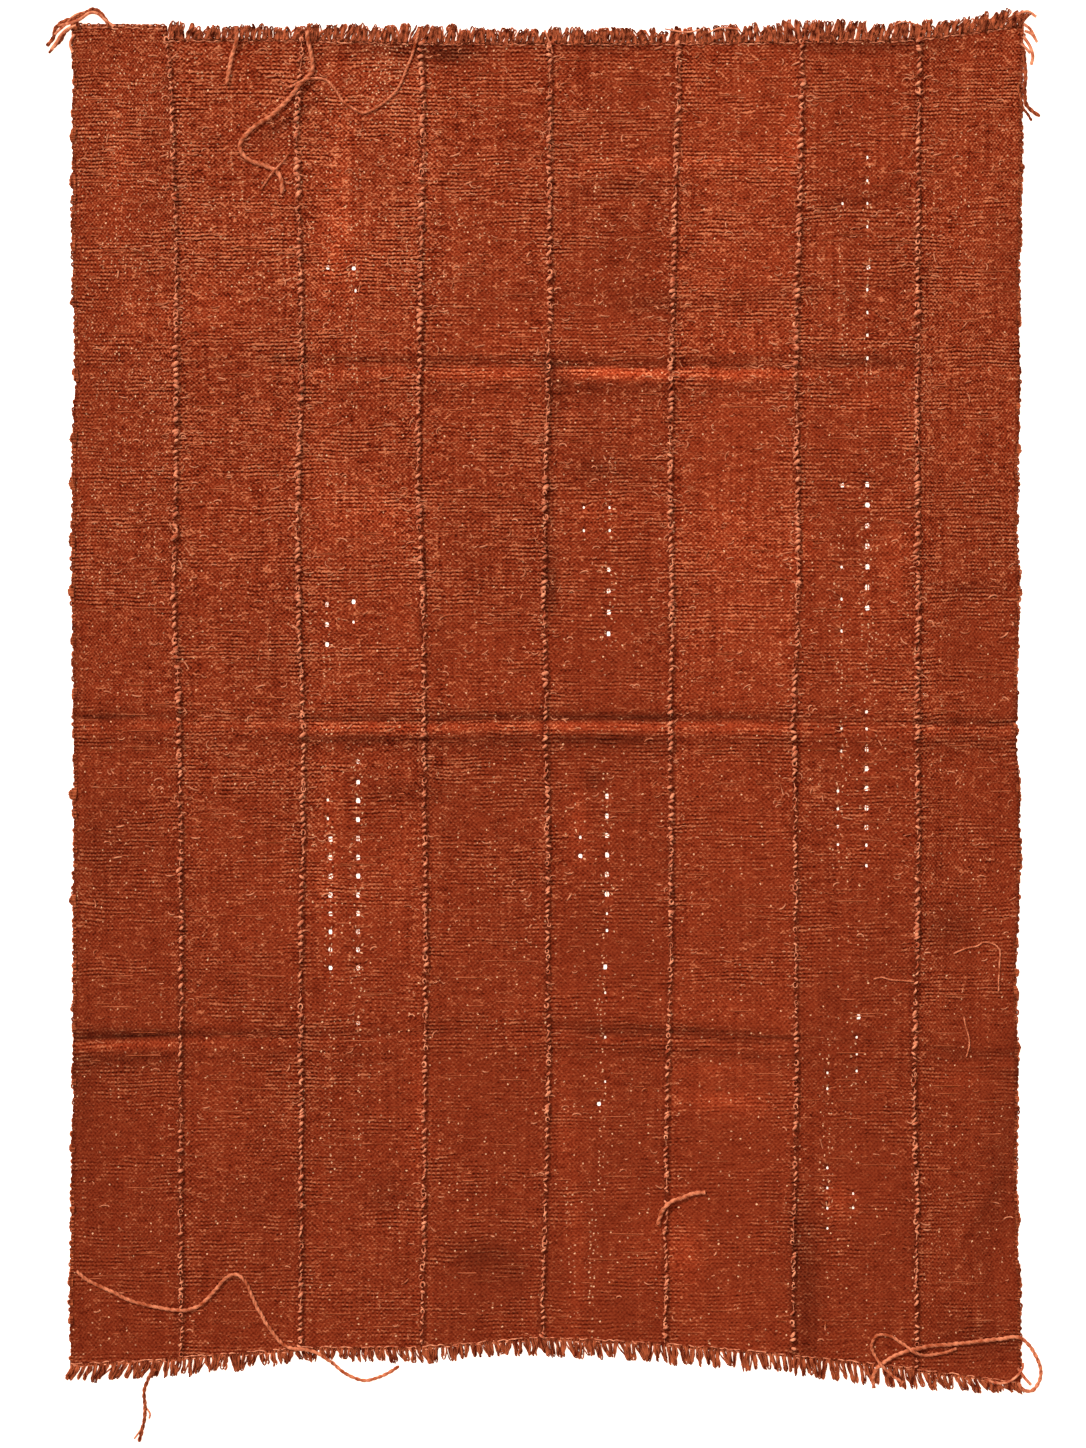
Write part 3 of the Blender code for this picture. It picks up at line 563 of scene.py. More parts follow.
def dyeAndPaintedLightTone(number, line, x, y):
    # the bath took unevenly; painted shade and painted light of folds, creases, seams and rolled selvedges
    # are multiplied in as well
    look = dyeAndPaintedLightLook
    tone = mix(*look["ends"], ease((y - look["bottomY"]) / look["length"]))
    tone *= stripSettings["tone"][number - 1]
    blotches = 0.08 * rough(x, y, 150, 11.0) + 0.06 * rough(x, y, 30, 12.0)
    tone *= 1 + blotches + 0.05 * rough(x * 5, y, 110, 13.0)
    tone *= paintedLightShadeAndWearAt(x, y)
    # painted shade and painted light along each crease
    for order, crease in enumerate(creases):
        offset = creaseOffset(order, line, x, y)
        if abs(offset) < creaseShape["reach"]:
            mark = creaseMark(crease, line) * (1 + 0.5 * rough(x, order * 70, 30, 19.0))
            for amount, place, width in look["creaseLines"]:
                tone *= 1 + amount * mark * math.exp(-((offset - place) / width) ** 2)
    nearest = round(line)
    side = x - lineX(nearest, y)
    # painted shade in the hollow of a seam and painted shadows beside it
    if 0 < nearest < 8:
        lean = ease(0.5 + rough(nearest * 60, y, 60, 18.0))
        shadow, width = look["shadowPlace"], look["shadowWidth"]
        for amount, place, width in (look["joinLine"], (mix(*look["rightShadow"], lean), shadow, width),
                                     (mix(*look["leftShadow"], lean), -shadow, width)):
            tone *= 1 - amount * math.exp(-((side - place) / width) ** 2)
    else:
        # painted shade where an outer selvedge rolls under
        amount, width = look["selvedgeLine"]
        tone *= 1 - amount * math.exp(-(side / width) ** 2)
    return tone


# the weave is coarse at the top end and worn smoother towards the bottom, and it bunches beside a seam
reliefLook = {"ends": (0.66, 1.04), "smoothY": -620, "length": 1200, "uneven": 0.25, "bunched": 0.3}


def weaveRelief(number, line, x, y):
    look = reliefLook
    relief = mix(*look["ends"], ease((y - look["smoothY"]) / look["length"]))
    relief *= stripSettings["coarseness"][number - 1]
    relief *= 1 + look["uneven"] * rough(x, y, 120, 15.0)
    nearest = round(line)
    if 0 < nearest < 8:
        relief *= 1 + look["bunched"] * math.exp(-abs(x - lineX(nearest, y) - 6) / 14)
    return relief


# places where the weave is open and many small flecks show, in mm: x, y, half width, half height, share
openPlaces = [
    (-182, 700, 24, 42, 0.85), (-230, 655, 34, 26, 0.45),
    (-484, 610, 3.5, 130, 0.6), (-453, 600, 3.5, 140, 0.5),
    (-246, 430, 5, 160, 0.5), (-217, 430, 5, 130, 0.6), (-215, 640, 6, 70, 0.5), (-246, 20, 6, 90, 0.4),
    (-243, -230, 7, 110, 0.45), (-212, -210, 7, 150, 0.5),
    (-243, -440, 5, 90, 0.6), (-212, -440, 5, 90, 0.55),
    (70, 170, 6, 120, 0.45), (68, -170, 6, 90, 0.4), (62, -420, 5, 150, 0.55), (52, -640, 5, 90, 0.6),
    (28, -620, 5, 90, 0.5), (361, 480, 5, 130, 0.55), (333, 470, 5, 110, 0.5), (361, 130, 7, 140, 0.45),
    (332, 110, 6, 120, 0.45), (331, -110, 6, 90, 0.5), (316, -480, 5, 120, 0.6), (346, -480, 5, 120, 0.5),
    (-370, 690, 26, 20, 0.3), (470, 560, 5, 90, 0.35), (60, 560, 5, 120, 0.4), (-60, -140, 5, 70, 0.3),
    (-300, 600, 230, 160, 0.15), (-480, 420, 50, 300, 0.17),
]


def openness(x, y):
    share = 0.0
    for placeX, placeY, halfWidth, halfHeight, most in openPlaces:
        away = max(abs(x - placeX) / halfWidth, abs(y - placeY) / halfHeight)
        share = max(share, most * (1 - ease((away - 0.75) / 0.5)))
    return share


def makeStrip(number):
    settings = stripSettings
    columns, rows = settings["columns"], settings["rows"]
    cloth = bmesh.new()
    uvLayer = cloth.loops.layers.uv.new("weave")
    # this attribute holds the dye tone together with painted shade and painted light
    dyeAndPaintedLightLayer = cloth.verts.layers.float.new("dye")
    reliefLayer = cloth.verts.layers.float.new("relief")
    laceLayer = cloth.verts.layers.float.new("lace")
    bmesh.ops.create_grid(cloth, x_segments=columns, y_segments=rows, size=0.5)
    overlap = settings["overlap"]
    shiftX, shiftY = settings["patternShift"]
    grid, uvOf = {}, {}
    for vertex in cloth.verts:
        column = round((vertex.co.x + 0.5) * columns)
        row = round((0.5 - vertex.co.y) * rows)
        share = column / columns - settings["edgePacking"] * math.sin(2 * math.pi * column / columns)
        topY, bottomY = stripEnds(number, share)
        y = mix(topY, bottomY, row / rows)
        line = number - 1 + share
        left = lineX(number - 1, y) + edgeWander(number - 1, y)
        right = lineX(number, y) + edgeWander(number, y)
        x = mix(left - (overlap if number > 1 else 0), right + (overlap if number < 8 else 0), share)
        z = clothHeight(line, x, y) + settings["floorGap"]
        vertex.co = (x * mm, y * mm, z * mm)
        vertex[dyeAndPaintedLightLayer] = dyeAndPaintedLightTone(number, line, x, y)
        vertex[reliefLayer] = weaveRelief(number, line, x, y)
        vertex[laceLayer] = openness(x, y)
        grid[column, row] = vertex
        uvOf[vertex] = (share * settings["patternWidth"] + number * shiftX, y * mm + number * shiftY)
    for face in cloth.faces:
        face.smooth = True
        for loop in face.loops:
            loop[uvLayer].uv = uvOf[loop.vert]
    openEyelets(cloth, grid, number)
    mesh = bpy.data.meshes.new(f"strip{number}")
    cloth.to_mesh(mesh)
    cloth.free()
    piece = addObject(f"stripCloth{number}", mesh)
    solid = piece.modifiers.new("Thickness", "SOLIDIFY")
    solid.thickness = settings["thickness"]
    solid.offset = 1.0
    return finishPiece(piece, weaveMaterial, "cloth", f"strip_{number}")


def openEyelets(cloth, grid, number):
    # each hole opens two neighbouring faces, and their corners are pulled to its ragged rim
    columns, rows = stripSettings["columns"], stripSettings["rows"]
    noiseSource = random.Random(40 + number)
    doomed = []
    for strip, x, yFirst, yLast, count, width, height in eyelets + pinEyelets:
        if strip != number:
            continue
        for order in range(count):
            y = mix(yFirst, yLast, order / max(count - 1, 1))
            topY, bottomY = stripEnds(number, 0.5)
            row = round((topY - y) / (topY - bottomY) * rows)
            column = sum(grid[index, row].co.x < x * mm for index in range(columns)) - 1
            for side in (0, 1):
                for step, reach in ((-1, 0.34), (0, 0.5), (1, 0.36)):
                    corner = grid[column + side, row + step]
                    spread = width * reach * noiseSource.uniform(0.8, 1.2)
                    corner.co.x = (x + (spread if side else -spread)) * mm
                    corner.co.y = (y - step * height * 0.5 * noiseSource.uniform(0.85, 1.15)) * mm
            for step in (-1, 0):
                corners = [grid[column, row + step], grid[column + 1, row + step],
                           grid[column, row + step + 1], grid[column + 1, row + step + 1]]
                shared = set(corners[0].link_faces)
                for corner in corners[1:]:
                    shared &= set(corner.link_faces)
                doomed += list(shared)
    bmesh.ops.delete(cloth, geom=list(set(doomed)), context="FACES")


strips = [makeStrip(number) for number in range(1, 9)]
print("strips woven:", len(strips))


def ringProfile(name, radii):
    # cross section of a yarn; the radii go round it once
    curve = bpy.data.curves.new(name, "CURVE")
    curve.dimensions = "2D"
    spline = curve.splines.new("POLY")
    spline.points.add(len(radii) - 1)
    for index, (point, radius) in enumerate(zip(spline.points, radii)):
        angle = 2 * math.pi * index / len(radii)
        point.co = (radius * math.cos(angle), radius * math.sin(angle), 0, 1)
    spline.use_cyclic_u = True
    return addObject(name, curve)


profiles = {
    "round": ringProfile("roundProfile", [1.0] * 6),
    "thin": ringProfile("thinProfile", [1.0] * 4),
    "ply": ringProfile("plyProfile", [1.08, 1.0, 0.82, 1.08, 1.0, 0.82]),
    "cord": ringProfile("cordProfile", [1.0, 0.97, 0.82, 0.58, 0.82, 0.97] * 2),
}


def yarnMesh(name, strands, profile):
    # a mesh of many yarns; each strand is a list of (point in mm, radius in mm, twist)
    curve = bpy.data.curves.new(name, "CURVE")
    curve.dimensions = "3D"
    curve.bevel_mode = "OBJECT"
    curve.bevel_object = profiles[profile]
    curve.use_fill_caps = True
    for strand in strands:
        spline = curve.splines.new("POLY")
        spline.points.add(len(strand) - 1)
        for point, (place, radius, twist) in zip(spline.points, strand):
            point.co = (place[0] * mm, place[1] * mm, max(place[2], radius * 1.1 + 0.05) * mm, 1)
            point.radius = radius * mm
            point.tilt = twist
        spline.use_smooth = True
    maker = addObject(name + "Maker", curve)
    depsgraph = bpy.context.evaluated_depsgraph_get()
    mesh = bpy.data.meshes.new_from_object(maker.evaluated_get(depsgraph))
    bpy.data.objects.remove(maker, do_unlink=True)
    welded = bmesh.new()
    welded.from_mesh(mesh)
    bmesh.ops.remove_doubles(welded, verts=welded.verts, dist=1e-7)
    for face in welded.faces:
        face.smooth = len(face.verts) == 4
    welded.to_mesh(mesh)
    welded.free()
    mesh.name = name
    return addObject(name, mesh)


curveSteps = 14  # straight parts between two given points


def smoothLine(points, step):
    # points one step apart on a smooth curve through the given ones
    fine = []
    ends = [points[0]] + list(points) + [points[-1]]
    for before, start, stop, after in zip(ends, ends[1:], ends[2:], ends[3:]):
        for index in range(curveSteps):
            t = index / curveSteps
            fine.append(tuple(
                b + 0.5 * t * (c - a + t * (2 * a - 5 * b + 4 * c - d + t * (3 * b - a - 3 * c + d)))
                for a, b, c, d in zip(before, start, stop, after)))
    fine.append(tuple(points[-1]))
    lengths = [0.0]
    for first, second in zip(fine, fine[1:]):
        lengths.append(lengths[-1] + math.dist(first, second))
    count = max(round(lengths[-1] / step), 2)
    spaced, index = [], 0
    for order in range(count + 1):
        wanted = lengths[-1] * order / count
        while index < len(lengths) - 2 and lengths[index + 1] < wanted:
            index += 1
        share = (wanted - lengths[index]) / max(lengths[index + 1] - lengths[index], 1e-9)
        spaced.append(tuple(mix(a, b, min(share, 1)) for a, b in zip(fine[index], fine[index + 1])))
    return spaced


def evenYarn(points, radius, step):  # a strand of one thickness through the points
    return [(place, radius, 0.0) for place in smoothLine(points, step)]


def clothTop(x, y):
    # top of the cloth in mm, at a point inside it
    for index in range(8):
        left, right = lineX(index, y), lineX(index + 1, y)
        if x <= right or index == 7:
            line = index + min(max((x - left) / (right - left), 0), 1)
            return clothHeight(line, x, y) + stripSettings["floorGap"] + stripSettings["thickness"] / mm
    return 0.0


# sizes in mm; then how pitch and boldness vary, and the shares of stitches that curl up or slant back
stitchSettings = {"pitch": 7.2, "radius": 1.75, "reach": 2.3, "rise": 2.7, "gaps": (0.5, 0.8, 1.0, 1.1, 1.6),
                  "bold": (0.76, 1.24), "boldEnds": (0.8, 1.0), "curlShare": 0.15, "backShare": 0.33}


def makeSeam(number):
    # whip stitches: a thick yarn goes over the two selvedges, slanting, and dives under again; it has
    # been pulled here and there into knots and small curls, and elsewhere it lies almost hidden
    settings = stitchSettings
    source = random.Random(700 + number)
    topY = min(stripEnds(number, 1.0)[0], stripEnds(number + 1, 0.0)[0])
    bottomY = max(stripEnds(number, 1.0)[1], stripEnds(number + 1, 0.0)[1])

    def middleX(y):
        return (lineX(number, y) + edgeWander(number, y) + 1.3 * rough(number * 40, y, 14, 30.0)
                + 1.2 * rough(number * 90, y, 45, 38.0))

    core, y = [], topY - 1
    while y > bottomY + 1:
        core.append((middleX(y) + source.uniform(-0.9, 0.9), y,
                     clothTop(middleX(y), y) + source.uniform(-1.1, -0.1)))
        y -= source.uniform(3.5, 8)
    strands = [evenYarn(core, 0.5, 2.6)]
    y = topY - 2
    while y > bottomY + 3:
        middle = middleX(y) + source.uniform(-0.8, 0.8)
        base = clothTop(middle, y)
        bold = mix(*settings["bold"], ease(0.5 + 1.2 * rough(number * 70, y, 50, 33.0)))
        bold *= mix(*settings["boldEnds"], ease((y + 620) / 900))
        reach = settings["reach"] * source.uniform(0.65, 1.3) * bold
        radius = settings["radius"] * source.uniform(0.6, 1.15) * bold
        rise = settings["rise"] * source.uniform(0.5, 1.3) * bold
        kind = source.random()
        if kind < settings["curlShare"]:  # a curl of yarn that stands up from the join
            size, turn = source.uniform(1.7, 2.6), source.uniform(0, 6.3)
            points = [(middle + size * math.cos(turn + a), y + size * math.sin(turn + a) * 1.25,
                       base + rise * 0.7 + a * 0.1) for a in (0, 0.9, 1.8, 2.7, 3.6, 4.5, 5.3)]
            radius *= 0.66
        else:
            slant = source.uniform(1.5, 5.4) * (1 if kind > settings["backShare"] else -0.6)
            course = ((-1, -0.6, -1.3), (-0.8, -0.45, 0.3), (-0.2, -0.1, rise), (0.4, 0.25, rise),
                      (0.85, 0.5, 0.2), (1, 0.6, -1.3))
            points = [(middle + reach * out, y + slant * along, base + up) for out, along, up in course]
        line = smoothLine(points, 1.9)
        strands.append([(p, radius * (0.42 + 0.58 * math.sin(math.pi * i / (len(line) - 1)) ** 0.6), 0.0)
                        for i, p in enumerate(line)])
        y -= settings["pitch"] * source.choice(settings["gaps"]) * source.uniform(0.85, 1.15)
    piece = yarnMesh(f"whipStitches{number}", strands, "round")
    return finishPiece(piece, yarnMaterials["sewing"], "sewing_yarn", f"seam_{number}")


seams = [makeSeam(number) for number in range(1, 8)]
print("strips sewn together with", len(seams), "rows of whip stitches")


# sizes in mm; where there are two values, 1 is the top end and -1 the bottom end
fringeSettings = {
    "pitch": 6.7, "radius": 1.5, "twist": 0.45, "step": 2.1, "loopThinner": 0.72, "tangleShare": 0.6,
    "loopShare": {1: 0.68, -1: 0.28}, "curliness": {1: 4.0, -1: 2.0}, "shortest": {1: -4.5, -1: -3.0},
    "leanMore": {1: 1.6, -1: 1}, "underYarn": {1: 1.5, -1: 1.2}, "drawnIn": {1: 0.2, -1: 0.5},
}


def makeFringe(number, direction):
    # warp ends left long and twisted together in locks; some are turned back on themselves
    settings = fringeSettings
    source = random.Random(900 + number * 2 + direction)
    side = "top" if direction > 0 else "bottom"
    ends = layout[side][number - 1]
    leans = layout[side + "Lean"][number - 1]
    left, right = lineX(number - 1, ends[0]), lineX(number, ends[1])
    count = round((right - left) / settings["pitch"])
    curliness = settings["curliness"][direction]
    strands, groupLeft = [], 0
    for order in range(count):
        share = (order + 0.5) / count
        if groupLeft == 0:
            groupLeft = source.choice((1, 1, 1, 2, 2, 3))
            group = share + (groupLeft - 1) / 2 / count
            groupLean = source.uniform(-2.0, 2.0) * settings["leanMore"][direction]
            groupReach = source.uniform(settings["shortest"][direction], 1.5)
        groupLeft -= 1
        baseY = mix(ends[0], ends[1], share)
        groupX = mix(left, right, min(group, 1.0))
        lean = mix(leans[0], leans[1], share) + groupLean
        # a shorter yarn lies under the others and fills the lock
        rootX = mix(left, right, share)
        tipX = mix(rootX, groupX, 0.5) + lean
        tipY = mix(ends[2], ends[3], share) + direction * (groupReach - 3.5)
        under = [(rootX, baseY - direction * 1.5, 1.6), (mix(rootX, tipX, 0.5), mix(baseY, tipY, 0.5), 1.7),
                 (tipX, tipY, 1.6)]
        strands.append(evenYarn(under, settings["radius"] * settings["underYarn"][direction], 3.0))
        for yarn in source.choice(((-1, 0, 1), (-1, 0, 1), (-1, 0, 1), (-1, 1))):
            rootX = mix(left, right, share) + yarn * 1.7 + source.uniform(-0.5, 0.5)
            tipX = mix(rootX, groupX, settings["drawnIn"][direction]) + lean + source.uniform(-0.9, 0.9)
            tipY = mix(ends[2], ends[3], share) + direction * (groupReach + source.uniform(-1.6, 1.2))
            radius = settings["radius"] * source.uniform(0.82, 1.12)
            start = clothTop(rootX, baseY - direction * 3)
            lift = source.choice((0.0, 0.7, 1.8))
            wave = source.uniform(-1.0, 1.0) * curliness
            if source.random() < settings["loopShare"][direction]:
                width = source.uniform(1.8, 3.0)
                radius *= settings["loopThinner"]
                points = [(rootX - width * 0.5, baseY - direction * 2.8, start - 0.4),
                          (rootX - width * 0.7 + wave, baseY + direction * 2.5, radius + 1.2 + lift),
                          (tipX - width * 0.6, mix(baseY, tipY, 0.8), radius + 0.4 + lift),
                          (tipX, tipY, radius + 0.3 + lift),
                          (tipX + width * 0.6, mix(baseY, tipY, 0.8), radius + 0.4 + lift),
                          (rootX + width * 0.7 + wave, baseY + direction * 2.5, radius + 1.2 + lift),
                          (rootX + width * 0.5, baseY - direction * 2.8, start - 0.4)]
            else:
                points = [(rootX, baseY - direction * 3.0, start - 0.9),
                          (rootX, baseY - direction * 0.8, start + 0.2),
                          (mix(rootX, tipX, 0.3) + wave, mix(baseY, tipY, 0.35), radius + 1.0 + lift),
                          (mix(rootX, tipX, 0.75) - wave * 0.6, mix(baseY, tipY, 0.75), radius + 0.3 + lift),
                          (tipX, tipY, radius + 0.2 + lift * 0.5)]
            line = smoothLine(points, settings["step"])
            last = len(line) - 1
            turn = source.uniform(0, 3)
            swells = [0.9 + 0.1 * math.sin(index * 1.3 + turn) for index in range(last)]
            swells.append(0.6 * (0.9 + 0.1 * math.sin(last * 1.3 + turn)))
            strands.append([(place, radius * swell, turn + index * settings["twist"])
                            for index, (place, swell) in enumerate(zip(line, swells))])
        # strays have tangled across the locks at the top
        if direction > 0 and source.random() < settings["tangleShare"]:
            reach, rise = source.uniform(4, 9) * source.choice((-1, 1)), source.uniform(3, 12)
            points = [(rootX, baseY - source.uniform(-1, 4), 4.0), (rootX + reach * 0.4, baseY + rise, 5.5),
                      (rootX + reach * 0.8, baseY + rise * source.uniform(0.3, 1.0), 5.2),
                      (rootX + reach, baseY + source.uniform(0, 4), 3.6)]
            strands.append([(place, source.uniform(0.9, 1.2), 0.0) for place in smoothLine(points, 2.2)])
    piece = yarnMesh(f"fringeLocks{side.capitalize()}{number}", strands, "ply")
    look = yarnMaterials["fringeTop" if direction > 0 else "fringe"]
    return finishPiece(piece, look, "fringe", f"fringe_{side}_{number}")


fringes = [makeFringe(number, 1) for number in range(2, 9)]
fringes += [makeFringe(number, -1) for number in range(1, 9)]
print("fringes:", len(fringes))


# single yarns that lie across the ends or stick out at the corners: radius, then the places, in mm
strays = [
    (0.9, (-2, 753, 5), (3, 740, 6), (7, 727, 3)),
    (0.9, (182, 750, 4), (197, 755, 6), (218, 753, 5)),
    (0.8, (392, 758, 3), (401, 762, 5), (417, 759, 3)),
    (0.9, (133, 754, 5), (156, 750, 6), (173, 753, 5)),
    (1.7, (536, 760, 3), (544, 754, 4), (550, 743, 2.5)),
    (1.5, (533, 738, 3), (539, 733, 3.5), (544, 727, 2)),
    (1.7, (530, 770, 3), (541, 774, 3), (551, 768, 2)),
    (1.4, (494, -765, 3), (506, -769, 4), (518, -768, 4), (528, -762, 4), (535, -753, 4), (536, -746, 3)),
    (1.8, (530, -752, 2.5), (537, -762, 3), (545, -771, 2.2)),
    (1.6, (-531, 748, 3), (-536, 738, 3), (-533, 728, 2.5)),
    (1.9, (-487, 757, 3), (-495, 763, 4), (-504, 771, 4.5), (-514, 772, 4.5), (-526, 764, 4.5),
     (-539, 760, 4), (-549, 757, 4)),
    (1.9, (-529, 758, 4), (-538, 754, 4.5), (-546, 747, 4), (-551, 739, 3.5), (-557, 731, 3)),
    (1.5, (-519, 773, 4), (-531, 769, 4.5), (-542, 758, 4), (-551, 750, 4), (-558, 741, 3)),
    (1.9, (536, 746, 3), (543, 736, 3.5), (547, 724, 3), (545, 714, 2.5)),
    (1.6, (538, 752, 3), (546, 748, 4), (552, 739, 3)),
    (1.1, (-451, -796, 3), (-446, -803, 2.6), (-447, -809, 1.6)),
    (1.1, (-451, -806, 3), (-456, -820, 2.6), (-464, -832, 1.5)),
]

endSettings = {"stitch": 4.2, "rows": 2, "rowGap": 3.0, "radius": 0.75, "boundY": 755, "boundLength": 133,
               "knotTurns": 9}


def catchStitches(source):
    # a pale thread worked over and under along every strip's end, in broken runs, holds the last picks
    strands = []
    for number in range(1, 9):
        for side, direction in (("top", 1), ("bottom", -1)):
            ends = layout[side][number - 1]
            left, right = lineX(number - 1, ends[0]), lineX(number, ends[1])
            for row in range(endSettings["rows"]):
                count = int((right - left) / endSettings["stitch"])
                points, runEnd = [], source.randint(3, 9)
                for order in range(count + 1):
                    if order == runEnd or order == count:
                        if len(points) > 2:
                            strands.append(evenYarn(points, endSettings["radius"], 1.7))
                        points, runEnd = [], order + source.randint(4, 12)
                        continue
                    share = order / count
                    x = mix(left + 1, right - 1, share) + source.uniform(-0.8, 0.8)
                    inward = 0.2 + row * endSettings["rowGap"] + source.uniform(-1.1, 1.1)
                    y = mix(ends[0], ends[1], share) - direction * inward
                    points.append((x, y, clothTop(x, y) + (source.uniform(0.7, 1.5) if order % 2 else -0.6)))
    return strands


def boundEdge(source):
    # the first strip has no fringe at the top: its end is bound over, and knotted at the outer corner
    strands = []
    left, right = lineX(0, endSettings["boundY"]), lineX(1, endSettings["boundY"])
    x = left + 1
    while x < right - 4:
        edge = mix(*layout["top"][0][:2], (x - left) / endSettings["boundLength"])
        width, out = source.uniform(1.5, 3.2), source.uniform(0.3, 1.6)
        points = [(x - width, edge - 3.0, 1.4), (x - width * 0.7, edge + out * 0.6, 2.2),
                  (x, edge + out, 2.4), (x + width * 0.7, edge + out * 0.5, 2.2),
                  (x + width, edge - 3.2, 1.4)]
        strands.append(evenYarn(points, 1.0, 1.8))
        x += source.uniform(2.6, 5.5)
    knotX, knotY = left + 4, layout["top"][0][0] - 1
    for turn in range(endSettings["knotTurns"]):
        angle, size = source.uniform(0, 6.3), source.uniform(1.5, 4.2)
        points = [(knotX + size * math.cos(angle + a), knotY + size * math.sin(angle + a),
                   2.6 + source.uniform(0, 2.6)) for a in (0, 1.1, 2.2, 3.3)]
        strands.append(evenYarn(points, 1.3, 1.7))
    return strands


def makeEndYarns():
    source = random.Random(555)
    strands = catchStitches(source)
    finishPiece(yarnMesh("boundEdge", boundEdge(source), "round"), yarnMaterials["fringe"], "fringe")
    strands += [evenYarn(points, radius, 1.8) for radius, *points in strays]
    finishPiece(yarnMesh("catchStitches", strands, "round"), yarnMaterials["sewing"], "sewing_yarn")


makeEndYarns()
print("ends stitched and bound")


slubSettings = {"count": 720, "radius": (0.5, 0.85), "length": (6, 42)}


def makeSlubs():
    # thick places in the handspun weft that stand up from the cloth for a few centimetres
    source = random.Random(31)
    strands = []
    while len(strands) < slubSettings["count"]:
        number = source.randint(1, 8)
        y = source.uniform(-715, 735)
        busy = 0.35 + 0.65 * ease(0.5 + 1.2 * rough(number * 300, y, 110, 21.0))
        busy += 0.25 if number in (2, 3, 4) else 0
        if source.random() > busy:
            continue
        left, right = lineX(number - 1, y) + 5, lineX(number, y) - 5
        length = mix(*slubSettings["length"], source.random() ** 2.2)
        length = min(length, right - left)
        start = source.uniform(left, right - length)
        radius = source.uniform(*slubSettings["radius"])
        slope = source.uniform(-0.012, 0.012)
        count = max(int(length / 6), 3)
        points = []
        for order in range(count + 1):
            x = start + length * order / count
            yHere = y + slope * (x - start) + 0.5 * rough(x, y, 9, 6.0)
            dip = -0.5 if order in (0, count) else 0.1 + 0.25 * rough(x, y, 6, 7.0)
            points.append((x, yHere, clothTop(x, yHere) + dip + radius * 0.4))
        strands.append([(p, radius * (0.75 + 0.35 * abs(rough(p[0], p[1], 5, 1.7))), 0.0)
                        for p in smoothLine(points, 5.0)])
    finishPiece(yarnMesh("weftSlubs", strands, "thin"), yarnMaterials["slub"], "cloth")


makeSlubs()

# the share of the curls that lie beside a seam, and how straight most of them follow the weft
curlSettings = {"count": 2300, "radius": (0.6, 0.95), "besideSeams": 0.45, "alongWeft": 0.7}


def makeCurls():
    # short overspun bits that curl up out of the weave, most of them beside the seams
    source = random.Random(47)
    strands = []
    while len(strands) < curlSettings["count"]:
        y = source.uniform(-725, 738)
        if source.random() > mix(0.14, 1.0, ease((y + 500) / 900)):
            continue
        if source.random() < curlSettings["besideSeams"]:
            line = source.randint(1, 7)
            x = lineX(line, y) + source.choice((-1, 1)) * (3.5 + abs(source.gauss(0, 12)))
        else:
            x = source.uniform(-528, 526)
        length = 3.2 + 9 * source.random() ** 1.8
        alongWeft = source.random() < curlSettings["alongWeft"]
        turn = source.gauss(0, 0.22) if alongWeft else source.uniform(-1.5, 1.5)
        bend = source.uniform(-0.7, 0.7)
        radius = source.uniform(*curlSettings["radius"])
        points = []
        for share in (-0.5, -0.2, 0.2, 0.5):
            angle = turn + bend * share * 2
            px, py = x + length * share * math.cos(angle), y + length * share * math.sin(angle)
            points.append((px, py, clothTop(px, py) + (0.7 if abs(share) < 0.3 else -0.5)))
        strands.append(evenYarn(points, radius, 2.8))
    finishPiece(yarnMesh("weftCurls", strands, "thin"), yarnMaterials["curl"], "cloth")


makeCurls()
print("slubs and curls laid")

# knots of weft at the outer selvedges, in mm: y, how far they stand out, how tall they are
selvedgeKnots = {
    0: [
        (696, 2.3, 6), (635, 3.0, 16), (582, 4.4, 16), (564, 2.3, 5), (512, 2.0, 5), (447, 5.0, 8),
        (366, 5.4, 15), (293, 5.4, 14), (244, 4.5, 15), (179, 4.5, 17), (122, 4.4, 12), (66, 2.4, 8),
        (7, 3.5, 13), (-39, 2.4, 12), (-106, 5.8, 17), (-130, 2.1, 5), (-170, 1.8, 4), (-227, 5.4, 12),
        (-300, 1.8, 4), (-367, 2.4, 12), (-430, 1.8, 4), (-505, 4.4, 7), (-575, 1.8, 5), (-654, 3.0, 10),
        (-677, 3.4, 7), (-700, 2.4, 10)],
    8: [
        (599, 2.4, 7), (540, 1.8, 4), (480, 1.8, 5), (424, 2.5, 8), (371, 2.5, 10), (330, 1.8, 4),
        (281, 4.4, 13), (200, 1.8, 5), (120, 3.5, 11), (89, 2.4, 13), (20, 1.8, 5), (-35, 3.6, 13),
        (-100, 1.8, 5), (-180, 1.8, 4), (-274, 3.4, 11), (-307, 2.9, 9), (-330, 2.5, 12), (-392, 3.4, 18),
        (-450, 1.8, 4), (-510, 2.3, 6), (-585, 2.4, 16), (-640, 2.0, 5)],
}


selvedgeSettings = {"out": (-0.9, 1.5), "tall": (2.5, 5), "radius": (0.95, 1.35), "gap": (3, 9),
                    "knotRadius": (1.0, 1.4)}


